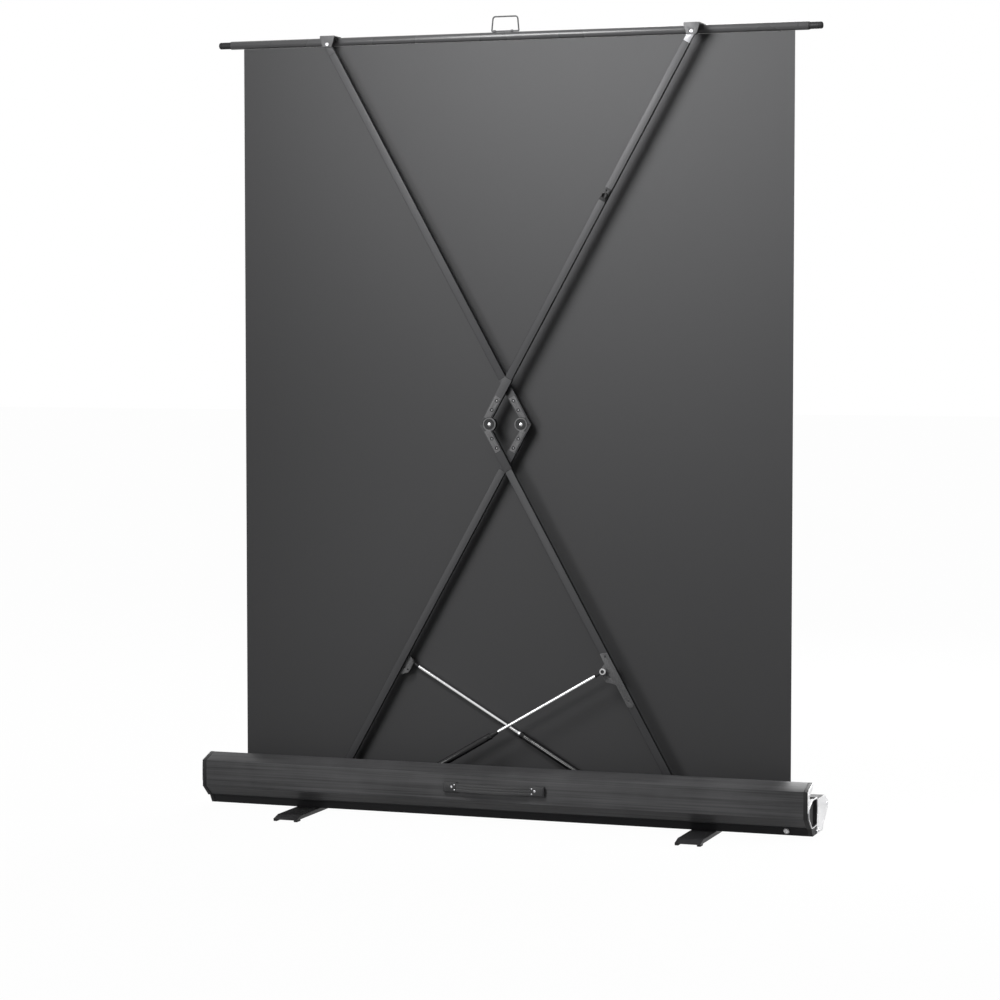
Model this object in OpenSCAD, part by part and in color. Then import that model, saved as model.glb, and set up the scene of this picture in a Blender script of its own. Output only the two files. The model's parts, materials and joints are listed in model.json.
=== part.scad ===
// Floor-standing pull-up projection screen, drawn open.
// X runs along the case, +Y is the way the picture faces, Z is up, and the
// origin is on the floor under the middle of the case. Millimetres.

/* [Screen fabric] */
// Width of the fabric
fabric_w = 1260; // [1100:10:1400]
// Thickness of the fabric
fabric_t = 0.8; // [0.4:0.1:1.2]
// Distance of the fabric in front of the case's middle plane
fabric_y = 15; // [14:0.5:18]

/* [Case] */
// Room in the case beyond each edge of the fabric
end_room = 53; // [50:1:80]
// Height of the case's bottom above the floor
case_rise = 12; // [11:0.5:20]
// Depth of the case
case_d = 185; // [175:1:220]
// Height of the case
case_h = 115; // [113:1:130]
// Height of the lower crease above the case's bottom
crease_low = 43; // [38:1:50]
// Height of the upper crease above the case's bottom
crease_high = 101; // [90:1:106]
// Height of the low front casing
front_h = 73; // [71:0.5:76]
// Height of the front casing's upper crease above the case's bottom
crease_front = 57; // [50:1:60]
// Half the width of the opening between the lips
lip_half = 48; // [47:0.5:54]
// Half the width of the base rail's floor
rail_half = 44; // [44:0.5:50]
// Height of the base rail
rail_h = 21; // [18:0.5:26]
// Spread of the base rail's sides
rail_flare = 12; // [8:0.5:16]
// Thickness of the base rail
rail_t = 3; // [2.5:0.1:4]
// Width of the rail's flange that the casings stand on
flange_w = 8; // [7:0.5:12]
// Thickness of the casing sheets
sheet_t = 2; // [1.5:0.1:2.5]
// Thickness of an end cap
cap_t = 9; // [7:0.5:10]
// Thickness of a silver end plate
end_plate_t = 2; // [2:0.5:4]

/* [Folding frame] */
// Distance of the base pivots from the middle
base_x = 417; // [380:1:450]
// Height of the base pivots
base_z = 38; // [37:0.5:42]
// Length of each arm between its pivots
arm_len = 946; // [900:1:980]
// Distance that each knee passes the middle
knee_past = 34; // [26:1:40]
// Middle plane of the leg nearer the fabric
leg_a_y = -10; // [-11:0.5:-9.5]
// Gap between the two legs
leg_gap = 1.5; // [1:0.1:2.5]
// Width of the arm tubes
tube_w = 17; // [15:0.5:18]
// Thickness of the arm tubes
tube_t = 9; // [8.5:0.1:9.2]
// Wall of the arm tubes
tube_wall = 1.2; // [1:0.1:1.5]
// Width of the knuckles
knuckle_w = 19; // [18:0.5:20]
// Thickness of the knuckles
knuckle_t = 11; // [10.6:0.1:11.4]
// Length of the knuckles from the knee pin
knuckle_len = 108; // [70:1:120]
// Distance of the knee pin inside the arm's middle line
arm_offset = 11; // [10.5:0.1:12]
// Radius of the hub discs
hub_r = 15; // [13:0.5:16]
// Radius of the knee pins
knee_pin_r = 3.5; // [3:0.1:4]
// Radius of the arm pins at the case and at the bar
arm_pin_r = 4; // [3:0.1:4.5]

/* [Gas struts] */
// Distance of the strut's pin along the lower arm
strut_s = 357; // [340:1:380]
// Distance of the strut's pin outside the arm's middle line
strut_o = 17.5; // [16:0.5:24]
// Distance of the struts' base pivots from the middle
strut_x = 300; // [280:1:320]
// Height of the struts' base pivots
strut_z = 30; // [30:0.5:34]
// Distance from a leg's plane to its strut's plane
strut_dy = 15; // [15:0.1:15.5]
// Diameter of the cylinders
cyl_d = 15; // [13:0.5:15.5]
// Length of a cylinder from its base pivot
cyl_len = 318; // [300:1:330]
// Diameter of the rods
rod_d = 7; // [5:0.5:8]

/* [Roller] */
// Height of the roller's axis
roller_z = 57.5; // [57:0.5:59]
// Radius of the roller tube
roller_r = 20; // [18:0.5:21]
// Thickness of the fabric left on the roller
wrap_t = 2.5; // [1.5:0.1:3]

/* [Top bar] */
// Diameter of the top bar
bar_d = 18; // [16:0.5:19]
// Length of bar beyond each edge of the fabric
bar_over = 30; // [10:1:40]
// Length of an end plug outside the bar
plug_len = 30; // [20:1:32]
// Diameter of an end plug
plug_d = 15; // [12:0.5:15.5]
// Height of the bar's axis above the arm pins
bar_rise = 7.7; // [7:0.1:9]
// Width of the saddles
saddle_w = 34; // [30:1:40]

/* [Pull bail] */
// Width of the wire bail
bail_w = 62; // [50:1:80]
// Height of the wire bail above its hinge
bail_h = 31.5; // [28:0.5:45]
// Diameter of the bail's wire
wire_d = 3.2; // [2.5:0.1:4]
// Place of the bail along the bar
bail_x = -12; // [-40:1:40]

/* [Carry handle] */
// Distance between the handle's end blocks
handle_span = 200; // [160:5:260]
// Height of the strap
strap_h = 18; // [16:1:24]
// Thickness of the strap
strap_t = 3; // [2:0.5:5]
// How far the strap bows away from the case
strap_bow = 14; // [10:1:20]

/* [Feet] */
// Distance of the feet inside the fabric's edges
foot_inset = 174; // [160:1:178]
// Length of a foot
foot_l = 352; // [280:2:400]
// Width of a foot
foot_w = 56; // [50:1:76]
// Thickness of a foot's sheet
foot_t = 2; // [1.5:0.1:3]
// Length of the sloping nose at each end of a foot
nose_l = 26; // [15:1:40]
// Height of the nose's edge above the floor
nose_z = 5; // [4:0.5:8]
// Length of a rubber pad
pad_l = 20; // [12:1:24]
// Width of a rubber pad
pad_w = 8; // [5:0.5:12]

/* [Hidden] */

$fn = 48;
eps = 0.01;
slip = 0.1;
seat = 0.2;

// Colours
case_grey = [0.20, 0.20, 0.21];
frame_black = [0.14, 0.14, 0.15];
plastic_black = [0.07, 0.07, 0.08];
steel = [0.75, 0.76, 0.78];
chrome = [0.88, 0.89, 0.90];
silver = [0.86, 0.87, 0.88];
rubber_black = [0.05, 0.05, 0.05];
cloth_black = [0.22, 0.22, 0.23];

// Case, worked out
foot_x = fabric_w / 2 - foot_inset;
case_half = fabric_w / 2 + end_room;
cap_end = case_half + cap_t;
plate_end = cap_end + end_plate_t;
y_face = case_d / 2;
z_floor = case_rise + rail_t;
z_flange = case_rise + rail_h;
rail_top = rail_half + rail_flare;
z_low = case_rise + crease_low;
z_high = case_rise + crease_high;
z_lip = case_rise + case_h;
z_front = case_rise + front_h;
z_ledge = case_rise + crease_front;
ledge_y = y_face - 32;
recess_front = -8;
recess_high = z_front + 4;
recess_frame = 4;
slot_y = fabric_y + 5;
port_r = 4.2;
port_y = y_face - sheet_t - port_r - 1;
port_z = z_high - sheet_t - port_r;
front_port_z = z_ledge - sheet_t - port_r;
rail_port_z = z_floor + port_r - 1;
rail_port_y = 8;
screw_r = 2;

// Roller, worked out
wrap_r = roller_r + wrap_t;
roller_y = fabric_y + fabric_t / 2 + wrap_r;
roller_half = fabric_w / 2 + 2;
roller_wall = 1.5;
axle_r = 5;
roller_plug_t = 8;
bracket_x = roller_half + 14;
bracket_t = 3;

// Folding frame, worked out
half_span = base_x + knee_past;
half_rise = sqrt(arm_len * arm_len - half_span * half_span);
link_angle = atan2(half_rise, half_span);
knee_z = base_z + half_rise;
top_z = base_z + 2 * half_rise;
tilt = asin(arm_offset / arm_len);
axis_len = sqrt(arm_len * arm_len - arm_offset * arm_offset);
axis_angle = 180 - link_angle + tilt;
mitre = 1 / tan(link_angle - tilt);
mitre_gap = 0.3;
leg_b_y = leg_a_y - knuckle_t - leg_gap;
eye_t = 7;
eye_r = 9;
eye_reach = 24;
plug_in = 28;
core_t = knuckle_t - 1.4;
tongue_t = 4.6;
hub_clear = 0.5;
disc_recess = 0.8;
leaf_w = 14;
leaf_start = 8;
leaf_end = 62;
screw_at = [30, 53];
ear_gap = 0.3;
ear_t = 2.5;

// Struts, worked out
strut_plate_t = 1.5;
strut_eye_t = 7;
strut_eye_r = 7.5;
strut_ear_t = 2;
strut_pin_r = 3;
strut_boss_r = 5;
cavity_r = cyl_d / 2 - 1.5;
gland_t = 8;
rod_inside = 30;
pin_x = base_x + strut_s * cos(axis_angle) - strut_o * sin(axis_angle);
pin_z = base_z + strut_s * sin(axis_angle) + strut_o * cos(axis_angle);
strut_run = pin_x + strut_x;
strut_climb = pin_z - strut_z;
strut_len = sqrt(strut_run * strut_run + strut_climb * strut_climb);
strut_angle = atan2(strut_climb, strut_run);

// Top bar, worked out
bar_y = fabric_y;
bar_len = fabric_w + 2 * bar_over;
bar_z = top_z + bar_rise;
bar_top = bar_z + bar_d / 2;
saddle_t = 2.2;
saddle_top = bar_top + seat + saddle_t;
saddle_front = bar_y + bar_d / 2 + 2;
lug_w = 5;
lug_at = [-25, 15];
bail_z = bar_top + wire_d / 2 + 0.4;
bail_corner = 6;

// Handle, worked out
handle_z = (z_low + z_high) / 2;
block_w = 32;
block_h = strap_h + 4;
block_d = 9;
strap_half = handle_span / 2;
strap_r = (strap_half * strap_half + strap_bow * strap_bow) / (2 * strap_bow);
strap_y = -y_face - block_d / 2 + 1;

// Feet, worked out
foot_top = case_rise - 0.3;
foot_half = foot_l / 2;
nose_slope = (foot_top - nose_z) / nose_l;
nose_drop = foot_t * sqrt(1 + nose_slope * nose_slope);
skid_z = nose_z - 1.5;
bolt_r = 4;

// Placing helpers

module along_x(x0, x1) {
    translate([x0, 0, 0]) rotate([90, 0, 90]) linear_extrude(x1 - x0) children();
}

module across_y(y0, y1) {
    translate([0, y1, 0]) rotate([90, 0, 0]) linear_extrude(y1 - y0) children();
}

module pin_y(x, z, y0, y1, r) {
    translate([x, y0, z]) rotate([-90, 0, 0]) cylinder(h = y1 - y0, r = r);
}

module pin_x(y, z, x0, x1, r) {
    translate([x0, y, z]) rotate([0, 90, 0]) cylinder(h = x1 - x0, r = r);
}

module both_ends() {
    children();
    mirror([1, 0, 0]) children();
}

// The two legs are one assembly: leg B as drawn, leg A turned half round.
module as_leg(leg) {
    if (leg == "a")
        translate([0, leg_a_y, 0]) rotate([0, 0, 180]) children();
    else
        translate([0, leg_b_y, 0]) children();
}

// In an arm's own frame X runs from its end pivot to the knee and Z points outwards.
module on_arm(upper) {
    if (upper)
        translate([0, 0, 2 * knee_z]) mirror([0, 0, 1]) on_arm(false) children();
    else
        translate([base_x, 0, base_z]) rotate([0, -axis_angle, 0]) children();
}

// In a strut's own frame X runs from its base pivot to the pin on the arm.
module on_strut() {
    translate([-strut_x, -strut_dy, strut_z]) rotate([0, -strut_angle, 0]) children();
}

// Case

module rear_outline() {
    polygon([
        [-rail_top - flange_w, z_flange], [-y_face, z_low], [-y_face, z_high],
        [-lip_half, z_lip], [-lip_half, z_lip - sheet_t - 0.6],
        [-y_face + sheet_t, z_high - sheet_t / 2], [-y_face + sheet_t, z_low + sheet_t / 2],
        [-rail_top - flange_w + sheet_t / 2, z_flange + sheet_t], [-rail_top, z_flange + sheet_t],
        [-rail_top, z_flange]]);
}

// The front casing is low and ends in a flat ledge beside the fabric
module front_outline() {
    polygon([
        [rail_top + flange_w, z_flange], [y_face, z_low], [y_face, z_ledge], [ledge_y, z_front],
        [slot_y, z_front], [slot_y, z_front - sheet_t], [ledge_y - sheet_t / 2, z_front - sheet_t],
        [y_face - sheet_t, z_ledge - sheet_t / 2], [y_face - sheet_t, z_low + sheet_t / 2],
        [rail_top + flange_w - sheet_t / 2, z_flange + sheet_t], [rail_top, z_flange + sheet_t],
        [rail_top, z_flange]]);
}

// Round port that a case screw bites in, joined to the wall of the rear casing
module screw_port(z) {
    difference() {
        union() {
            pin_x(-port_y, z, -case_half, case_half, port_r);
            translate([-case_half, -y_face + sheet_t / 2, z - port_r / 2])
                cube([2 * case_half, port_r + sheet_t, port_r]);
        }
        pin_x(-port_y, z, -case_half - 1, case_half + 1, screw_r + slip / 2);
    }
}

module rear_casing() {
    color(case_grey) union() {
        along_x(-case_half, case_half) rear_outline();
        screw_port(port_z);
    }
}

module front_casing() {
    color(case_grey) union() {
        along_x(-case_half, case_half) front_outline();
        mirror([0, 1, 0]) screw_port(front_port_z);
    }
}

module rail_profile() {
    difference() {
        union() {
            polygon([
                [-rail_half, case_rise], [rail_half, case_rise], [rail_top, z_flange],
                [-rail_top, z_flange]]);
            translate([-rail_top - flange_w, z_flange - sheet_t])
                square([2 * (rail_top + flange_w), sheet_t]);
        }
        polygon([
            [-rail_half + rail_t / 2, z_floor], [rail_half - rail_t / 2, z_floor],
            [rail_top - rail_t, z_flange + 1], [-rail_top + rail_t, z_flange + 1]]);
    }
}

// The rail's screw ports stop short of the brackets and the feet's bolts
module rail_ports() {
    start = foot_x + 50;
    for (side = [-1, 1]) difference() {
        pin_x(side * rail_port_y, rail_port_z, start, case_half, port_r);
        pin_x(side * rail_port_y, rail_port_z, start - 1, case_half + 1, screw_r + slip / 2);
    }
}

module base_rail() {
    color(frame_black) difference() {
        union() {
            along_x(-case_half, case_half) rail_profile();
            both_ends() rail_ports();
        }
        for (side = [-1, 1])
            translate([side * foot_x, 0, case_rise - 1])
                cylinder(h = rail_t + 2, r = bolt_r + slip);
    }
}

// The end follows the low front casing, and rises behind as a strip along the rear wall
module end_outline() {
    strip = 13.5;
    polygon([
        [-rail_half, case_rise], [rail_half, case_rise], [rail_top, z_flange - sheet_t],
        [rail_top + flange_w, z_flange - sheet_t], [y_face, z_low], [y_face, z_ledge],
        [ledge_y, z_front], [recess_front, z_front], [-lip_half, recess_high + recess_frame],
        [-y_face + strip, recess_high + recess_frame + 2], [-y_face + strip, z_high - strip + 3],
        [-lip_half, z_lip - strip + 3], [-lip_half, z_lip], [-y_face, z_high], [-y_face, z_low],
        [-rail_top - flange_w, z_flange - sheet_t], [-rail_top, z_flange - sheet_t]]);
}

// Finger recess in the rear half of the end, clear of the lower chamfer
module recess_shape(grow) {
    low = case_rise + 20;
    back = -y_face + 7;
    margin = 5.5;
    big = 14;
    small = 5;
    rise = z_low - z_flange + sheet_t;
    run = y_face - rail_top - flange_w;
    slant = (margin + big) * sqrt(rise * rise + run * run);
    back_z = z_low + (slant - (back + big + y_face) * rise) / run;
    low_y = -y_face + (slant - (low + big - z_low) * run) / rise;
    hull() {
        translate([back + big, back_z]) circle(big + grow);
        translate([low_y, low + big]) circle(big + grow);
        translate([back + small, z_low + 16]) circle(small + grow);
        translate([-lip_half - small, recess_high - small]) circle(small + grow);
        translate([recess_front - small, recess_high - small]) circle(small + grow);
        translate([recess_front - small, low + small]) circle(small + grow);
    }
}

module cap_screw_places() {
    translate([-port_y, port_z]) children();
    translate([port_y, front_port_z]) children();
    for (side = [-1, 1]) translate([side * rail_port_y, rail_port_z]) children();
}

module end_cap() {
    back_t = 1.5;
    color(plastic_black) difference() {
        along_x(case_half, cap_end) difference() {
            end_outline();
            cap_screw_places() circle(screw_r + slip);
        }
        along_x(case_half + back_t, cap_end + 1) recess_shape(0);
    }
}

// The silver plate leaves the black cap bare behind and below the recess
module end_plate() {
    rim = 2;
    hook_end = -rail_half + 10;
    color(silver) {
        along_x(cap_end, cap_end + end_plate_t / 2) difference() {
            end_outline();
            recess_shape(0);
            difference() {
                translate([-y_face - 1, 0]) square([y_face + 1 + recess_front, z_low + 13]);
                recess_shape(rim);
            }
            cap_screw_places() circle(screw_r + slip);
        }
        along_x(cap_end, plate_end) difference() {
            recess_shape(rim);
            recess_shape(0);
            translate([hook_end, 0]) square([y_face, z_low]);
        }
    }
}

module case_screws() {
    head_z = cap_end + end_plate_t / 2;
    color(chrome) both_ends() {
        along_x(case_half - 10, head_z) cap_screw_places() circle(screw_r);
        along_x(head_z, plate_end) cap_screw_places() circle(screw_r * 2);
    }
    color(chrome) both_ends()
        pin_y(strap_half - 5, handle_z + 1, -y_face - block_d - 1.2, -y_face - block_d, 2.5);
    lock_slant = atan2(rail_h, rail_flare);
    color(chrome) translate([bracket_x - 9, -(rail_half + rail_top) / 2, case_rise + rail_h / 2])
        rotate([180 - lock_slant, 0, 0]) difference() {
            cylinder(h = 3.4, r1 = 6.5, r2 = 5);
            translate([0, 0, 2]) cylinder(h = 2, r = 2.2, $fn = 6);
        }
}

module arm_brackets() {
    ear_r = 10;
    foot_half = 15;
    inner = eye_t / 2 + ear_gap;
    color(frame_black) for (leg = ["a", "b"]) as_leg(leg) difference() {
        union() {
            for (side = [-1, 1])
                translate([0, side * (inner + ear_t / 2), 0]) across_y(-ear_t / 2, ear_t / 2) {
                    translate([base_x, base_z]) circle(ear_r);
                    translate([base_x - ear_r, z_floor]) square([2 * ear_r, base_z - z_floor]);
                }
            translate([base_x - foot_half, -inner - ear_t, z_floor])
                cube([2 * foot_half, 2 * (inner + ear_t), 2.5]);
        }
        pin_y(base_x, base_z, -inner - ear_t - 1, inner + ear_t + 1, arm_pin_r + slip / 2);
    }
}

module strut_brackets() {
    foot_half = 12;
    inner = strut_eye_t / 2 + ear_gap;
    color(frame_black) for (leg = ["a", "b"]) as_leg(leg) translate([0, -strut_dy, 0]) difference() {
        union() {
            for (side = [-1, 1])
                translate([0, side * (inner + strut_ear_t / 2), 0])
                    across_y(-strut_ear_t / 2, strut_ear_t / 2) {
                        translate([-strut_x, strut_z]) circle(strut_eye_r);
                        translate([-strut_x - strut_eye_r, z_floor + 2])
                            square([2 * strut_eye_r, strut_z - z_floor - 2]);
                    }
            translate([-strut_x - foot_half, -inner - strut_ear_t + 1, z_floor])
                cube([2 * foot_half, 2 * (inner + strut_ear_t) - 1, 2 + eps]);
        }
        pin_y(-strut_x, strut_z, -inner - 4, inner + 4, strut_pin_r + slip / 2);
    }
}

module base_pins() {
    arm_reach = eye_t / 2 + ear_gap + ear_t;
    strut_reach = strut_eye_t / 2 + ear_gap + strut_ear_t;
    color(steel) for (leg = ["a", "b"]) as_leg(leg) {
        pin_y(base_x, base_z, -arm_reach, arm_reach, arm_pin_r);
        for (side = [-1, 1])
            translate([0, side * (arm_reach + 0.5), 0])
                pin_y(base_x, base_z, -0.5, 0.5, arm_pin_r + 2);
        translate([0, -strut_dy, 0]) {
            pin_y(-strut_x, strut_z, -strut_reach, strut_reach, strut_pin_r);
            for (side = [-1, 1])
                translate([0, side * (strut_reach + 0.5), 0])
                    pin_y(-strut_x, strut_z, -0.5, 0.5, strut_pin_r + 1.5);
        }
    }
}

module roller_bracket(side) {
    top_r = 11;
    foot_y = 16;
    x0 = side > 0 ? bracket_x : -bracket_x - bracket_t;
    color(frame_black) difference() {
        union() {
            along_x(x0, x0 + bracket_t) {
                translate([roller_y, roller_z]) circle(top_r);
                polygon([
                    [foot_y, z_floor], [rail_half - rail_t, z_floor],
                    [roller_y + top_r, roller_z], [roller_y - top_r, roller_z]]);
            }
            translate([side > 0 ? x0 : x0 - 17, foot_y, z_floor])
                cube([20, rail_half - rail_t - foot_y, bracket_t]);
        }
        pin_x(roller_y, roller_z, x0 - 1, x0 + bracket_t + 1, axle_r + slip / 2);
    }
}

// Fixed axle of the spring end: it passes the bracket and holds the spring
module roller_axle() {
    color(steel) {
        pin_x(roller_y, roller_z, -bracket_x - bracket_t - 3, -bracket_x, axle_r);
        pin_x(roller_y, roller_z, -bracket_x, -roller_half + 60, axle_r - 0.4);
    }
}

module roller_spring() {
    color(steel) along_x(-roller_half + 20, -roller_half + 320)
        translate([roller_y, roller_z]) difference() {
            circle(10);
            circle(axle_r + 0.2);
        }
}

module strap_arc(half, grow) {
    translate([0, strap_y - strap_bow + strap_r]) intersection() {
        difference() {
            circle(strap_r + strap_t / 2 + grow, $fn = 180);
            circle(strap_r - strap_t / 2 - grow, $fn = 180);
        }
        translate([-half, -strap_r - strap_t]) square([2 * half, strap_bow + 3 * strap_t]);
    }
}

module carry_strap() {
    color(plastic_black) translate([0, 0, handle_z - strap_h / 2])
        linear_extrude(strap_h) strap_arc(strap_half - block_w / 2 + 5, 0);
}

// Two end blocks, each with a slot for the end of the strap
module handle_blocks() {
    color(plastic_black) difference() {
        for (side = [-1, 1])
            translate([side * strap_half - block_w / 2, -y_face - block_d, handle_z - block_h / 2])
                cube([block_w, block_d, block_h]);
        translate([0, 0, handle_z - strap_h / 2 - slip])
            linear_extrude(strap_h + 2 * slip) strap_arc(strap_half - block_w / 2 + 6, slip);
    }
}

module foot_bolts() {
    head_top = foot_top - nose_drop - 0.1;
    color(steel) both_ends() {
        translate([foot_x, 0, head_top - 3]) cylinder(h = 3, r = bolt_r * 1.8);
        translate([foot_x, 0, head_top - 0.9]) cylinder(h = z_floor + 3.9 - head_top, r = bolt_r);
        translate([foot_x, 0, z_floor]) cylinder(h = 4, r = bolt_r * 1.7);
    }
}

module screen_fabric() {
    color(cloth_black) translate([-fabric_w / 2, fabric_y - fabric_t / 2, roller_z])
        cube([fabric_w, fabric_t, bar_z - bar_d / 2 - seat - roller_z]);
}

// Roller

module roller_tube() {
    color(silver) along_x(-roller_half, roller_half) translate([roller_y, roller_z]) difference() {
        circle(roller_r);
        circle(roller_r - roller_wall);
    }
}

module roller_plug_left() {
    color(plastic_black) difference() {
        union() {
            pin_x(roller_y, roller_z, -roller_half, -roller_half + 18, roller_r - roller_wall - 0.05);
            pin_x(roller_y, roller_z, -roller_half - roller_plug_t, -roller_half, roller_r);
        }
        pin_x(roller_y, roller_z, -roller_half - 20, -roller_half + 30, axle_r);
    }
}

module roller_plug_right() {
    color(plastic_black) {
        pin_x(roller_y, roller_z, roller_half - 18, roller_half, roller_r - roller_wall - 0.05);
        pin_x(roller_y, roller_z, roller_half, roller_half + roller_plug_t, roller_r);
        pin_x(roller_y, roller_z, roller_half + roller_plug_t, bracket_x + bracket_t + 3, axle_r);
    }
}

module fabric_wrap() {
    color(cloth_black) along_x(-fabric_w / 2, fabric_w / 2) translate([roller_y, roller_z]) difference() {
        circle(wrap_r - 0.1);
        circle(roller_r + 0.05);
    }
}

// Arms

module arm_tube() {
    start = eye_reach;
    end = axis_len - knuckle_len;
    color(frame_black) translate([start, -tube_t / 2, -tube_w / 2]) difference() {
        cube([end - start, tube_t, tube_w]);
        translate([-1, tube_wall, tube_wall])
            cube([end - start + 2, tube_t - 2 * tube_wall, tube_w - 2 * tube_wall]);
    }
}

module tube_plug(x0, x1) {
    fit = slip;
    inner_t = tube_t - 2 * (tube_wall + fit);
    inner_w = tube_w - 2 * (tube_wall + fit);
    translate([x0, -inner_t / 2, -inner_w / 2]) cube([x1 - x0, inner_t, inner_w]);
}

module arm_eye(tint) {
    color(tint) difference() {
        union() {
            pin_y(0, 0, -eye_t / 2, eye_t / 2, eye_r);
            translate([0, -eye_t / 2, -eye_r + 1.5]) cube([eye_reach, eye_t, 2 * eye_r - 3]);
            tube_plug(eye_reach - eps, eye_reach + plug_in);
        }
        pin_y(0, 0, -eye_t, eye_t, arm_pin_r + slip / 2);
    }
}

module knuckle_bar() {
    z1 = arm_offset - knuckle_w / 2;
    z2 = arm_offset + knuckle_w / 2;
    across_y(-core_t / 2, core_t / 2)
        polygon([
            [-knuckle_len, z1], [z1 * mitre - mitre_gap, z1],
            [z2 * mitre - mitre_gap, z2], [-knuckle_len, z2]]);
    across_y(-knuckle_t / 2, knuckle_t / 2)
        translate([-leaf_end, arm_offset - leaf_w / 2]) square([leaf_end - leaf_start, leaf_w]);
    translate([0, 0, arm_offset]) tube_plug(-knuckle_len - plug_in, -knuckle_len + eps);
}

module knuckle_screw_holes() {
    for (s = screw_at)
        pin_y(-s, arm_offset - 1, -knuckle_t, knuckle_t, screw_r + slip / 2);
}

// Outer half of the hinge: a disc on each face, with the tongue's room between
module lower_knuckle_shape() {
    gap = tongue_t / 2 + 0.2;
    color(frame_black) difference() {
        union() {
            difference() {
                knuckle_bar();
                pin_y(0, 0, -gap, gap, hub_r + hub_clear);
            }
            for (side = [-1, 1]) scale([1, side, 1]) pin_y(0, 0, gap, knuckle_t / 2, hub_r);
        }
        for (side = [-1, 1])
            translate([0, side * (knuckle_t / 2 - disc_recess / 2), 0])
                pin_y(0, 0, -disc_recess / 2 - (side < 0 ? 1 : 0), disc_recess / 2 + (side > 0 ? 1 : 0),
                    hub_r - 3.5);
        pin_y(0, 0, -knuckle_t, knuckle_t, knee_pin_r + slip / 2);
        knuckle_screw_holes();
    }
}

// Inner half of the hinge: one disc between the other's two
module upper_knuckle_shape() {
    color(frame_black) difference() {
        union() {
            difference() {
                knuckle_bar();
                pin_y(0, 0, -knuckle_t, -tongue_t / 2, hub_r + hub_clear);
                pin_y(0, 0, tongue_t / 2, knuckle_t, hub_r + hub_clear);
            }
            pin_y(0, 0, -tongue_t / 2, tongue_t / 2, hub_r);
        }
        pin_y(0, 0, -knuckle_t, knuckle_t, knee_pin_r + slip / 2);
        knuckle_screw_holes();
    }
}

module at_knee(upper) {
    on_arm(upper) translate([axis_len, 0, -arm_offset]) children();
}

module knee_pin_shape() {
    face = knuckle_t / 2 - disc_recess;
    color(chrome) {
        pin_y(0, 0, -face, face, knee_pin_r);
        translate([0, -face, 0]) rotate([90, 0, 0]) cylinder(h = 1.6, r1 = knee_pin_r + 1.5, r2 = knee_pin_r - 0.5);
        pin_y(0, 0, face, knuckle_t / 2, knee_pin_r + 1.5);
    }
}

module knuckle_screws() {
    head_t = 0.6;
    color(steel) for (s = screw_at)
        translate([-s, 0, arm_offset - 1]) {
            pin_y(0, 0, -knuckle_t / 2, knuckle_t / 2, screw_r);
            pin_y(0, 0, -knuckle_t / 2 - head_t, -knuckle_t / 2, screw_r * 1.7);
        }
}

// Plate on the lower arm's outer face, with a wing that carries the strut's stud
module strut_plate_shape() {
    near = tube_t / 2;
    stud = strut_dy - strut_eye_t / 2 - 0.4;
    edge = tube_w / 2;
    wide = edge - 0.5;
    reach = strut_o + 8.5;
    low = strut_s - 97;
    high = strut_s + 37;
    color(frame_black) {
        difference() {
            across_y(-near - strut_plate_t, -near)
                polygon([
                    [low, -wide + 5], [low, wide - 5], [low + 6, wide], [strut_s - 38, wide],
                    [strut_s - 23, reach - 1], [strut_s - 12, reach], [strut_s + 4, reach - 1],
                    [strut_s + 10, strut_o], [strut_s + 13, edge + 1], [high - 1, wide],
                    [high, wide - 2], [high - 5, -wide], [low + 6, -wide]]);
            for (s = [strut_s - 81, strut_s + 26])
                pin_y(s, 0, -near - 3, -near + 1, 1.8);
            for (o = [strut_o - 5.5, strut_o + 3.5])
                pin_y(strut_s - 17, o, -near - 3, -near + 1, 1.8);
        }
        pin_y(strut_s, strut_o, -stud, -near - strut_plate_t, strut_boss_r);
    }
}

// Snap catch on an upper arm's outer face
module catch_shape() {
    place = 388;
    near = tube_t / 2;
    long = 30;
    color(plastic_black) translate([place, -near, 0]) {
        difference() {
            translate([-long / 2, -2, -7]) cube([long, 2, 14]);
            pin_y(-9, 0, -3, 1, 1.8);
        }
        difference() {
            across_y(-8, -2) difference() {
                translate([2, 0]) circle(6.5);
                translate([2, 0]) circle(4);
                translate([2, -3]) square([8, 6]);
            }
            translate([12, -12, -10]) cube([4, 20, 20]);
        }
    }
}

// Struts

module strut_cylinder_shape() {
    neck = 20;
    color(plastic_black) difference() {
        union() {
            pin_y(0, 0, -strut_eye_t / 2, strut_eye_t / 2, strut_eye_r - 0.5);
            pin_x(0, 0, 0, neck, 3.4);
            pin_x(0, 0, neck, cyl_len, cyl_d / 2);
        }
        pin_y(0, 0, -strut_eye_t, strut_eye_t, strut_pin_r + slip / 2);
        pin_x(0, 0, neck + 6, cyl_len - gland_t, cavity_r);
        pin_x(0, 0, cyl_len - gland_t - 1, cyl_len + 1, rod_d / 2 + slip / 2);
    }
}

module strut_rod_shape() {
    end_neck = 14;
    color(chrome) {
        pin_x(0, 0, cyl_len - gland_t - rod_inside, strut_len - end_neck, rod_d / 2);
        pin_x(0, 0, cyl_len - gland_t - rod_inside, cyl_len - gland_t - rod_inside + 6, cavity_r - slip);
    }
    color(chrome) difference() {
        union() {
            pin_x(0, 0, strut_len - end_neck, strut_len - strut_boss_r, 3.4);
            pin_y(strut_len, 0, -strut_eye_t / 2, strut_eye_t / 2, strut_eye_r - 1);
        }
        pin_y(strut_len, 0, -strut_eye_t, -strut_eye_t / 2 + 1.5, 3);
    }
}

// Top bar

module top_bar() {
    color(frame_black) along_x(-bar_len / 2, bar_len / 2) translate([bar_y, bar_z]) difference() {
        circle(bar_d / 2);
        circle(bar_d / 2 - 1.2);
    }
}

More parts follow.
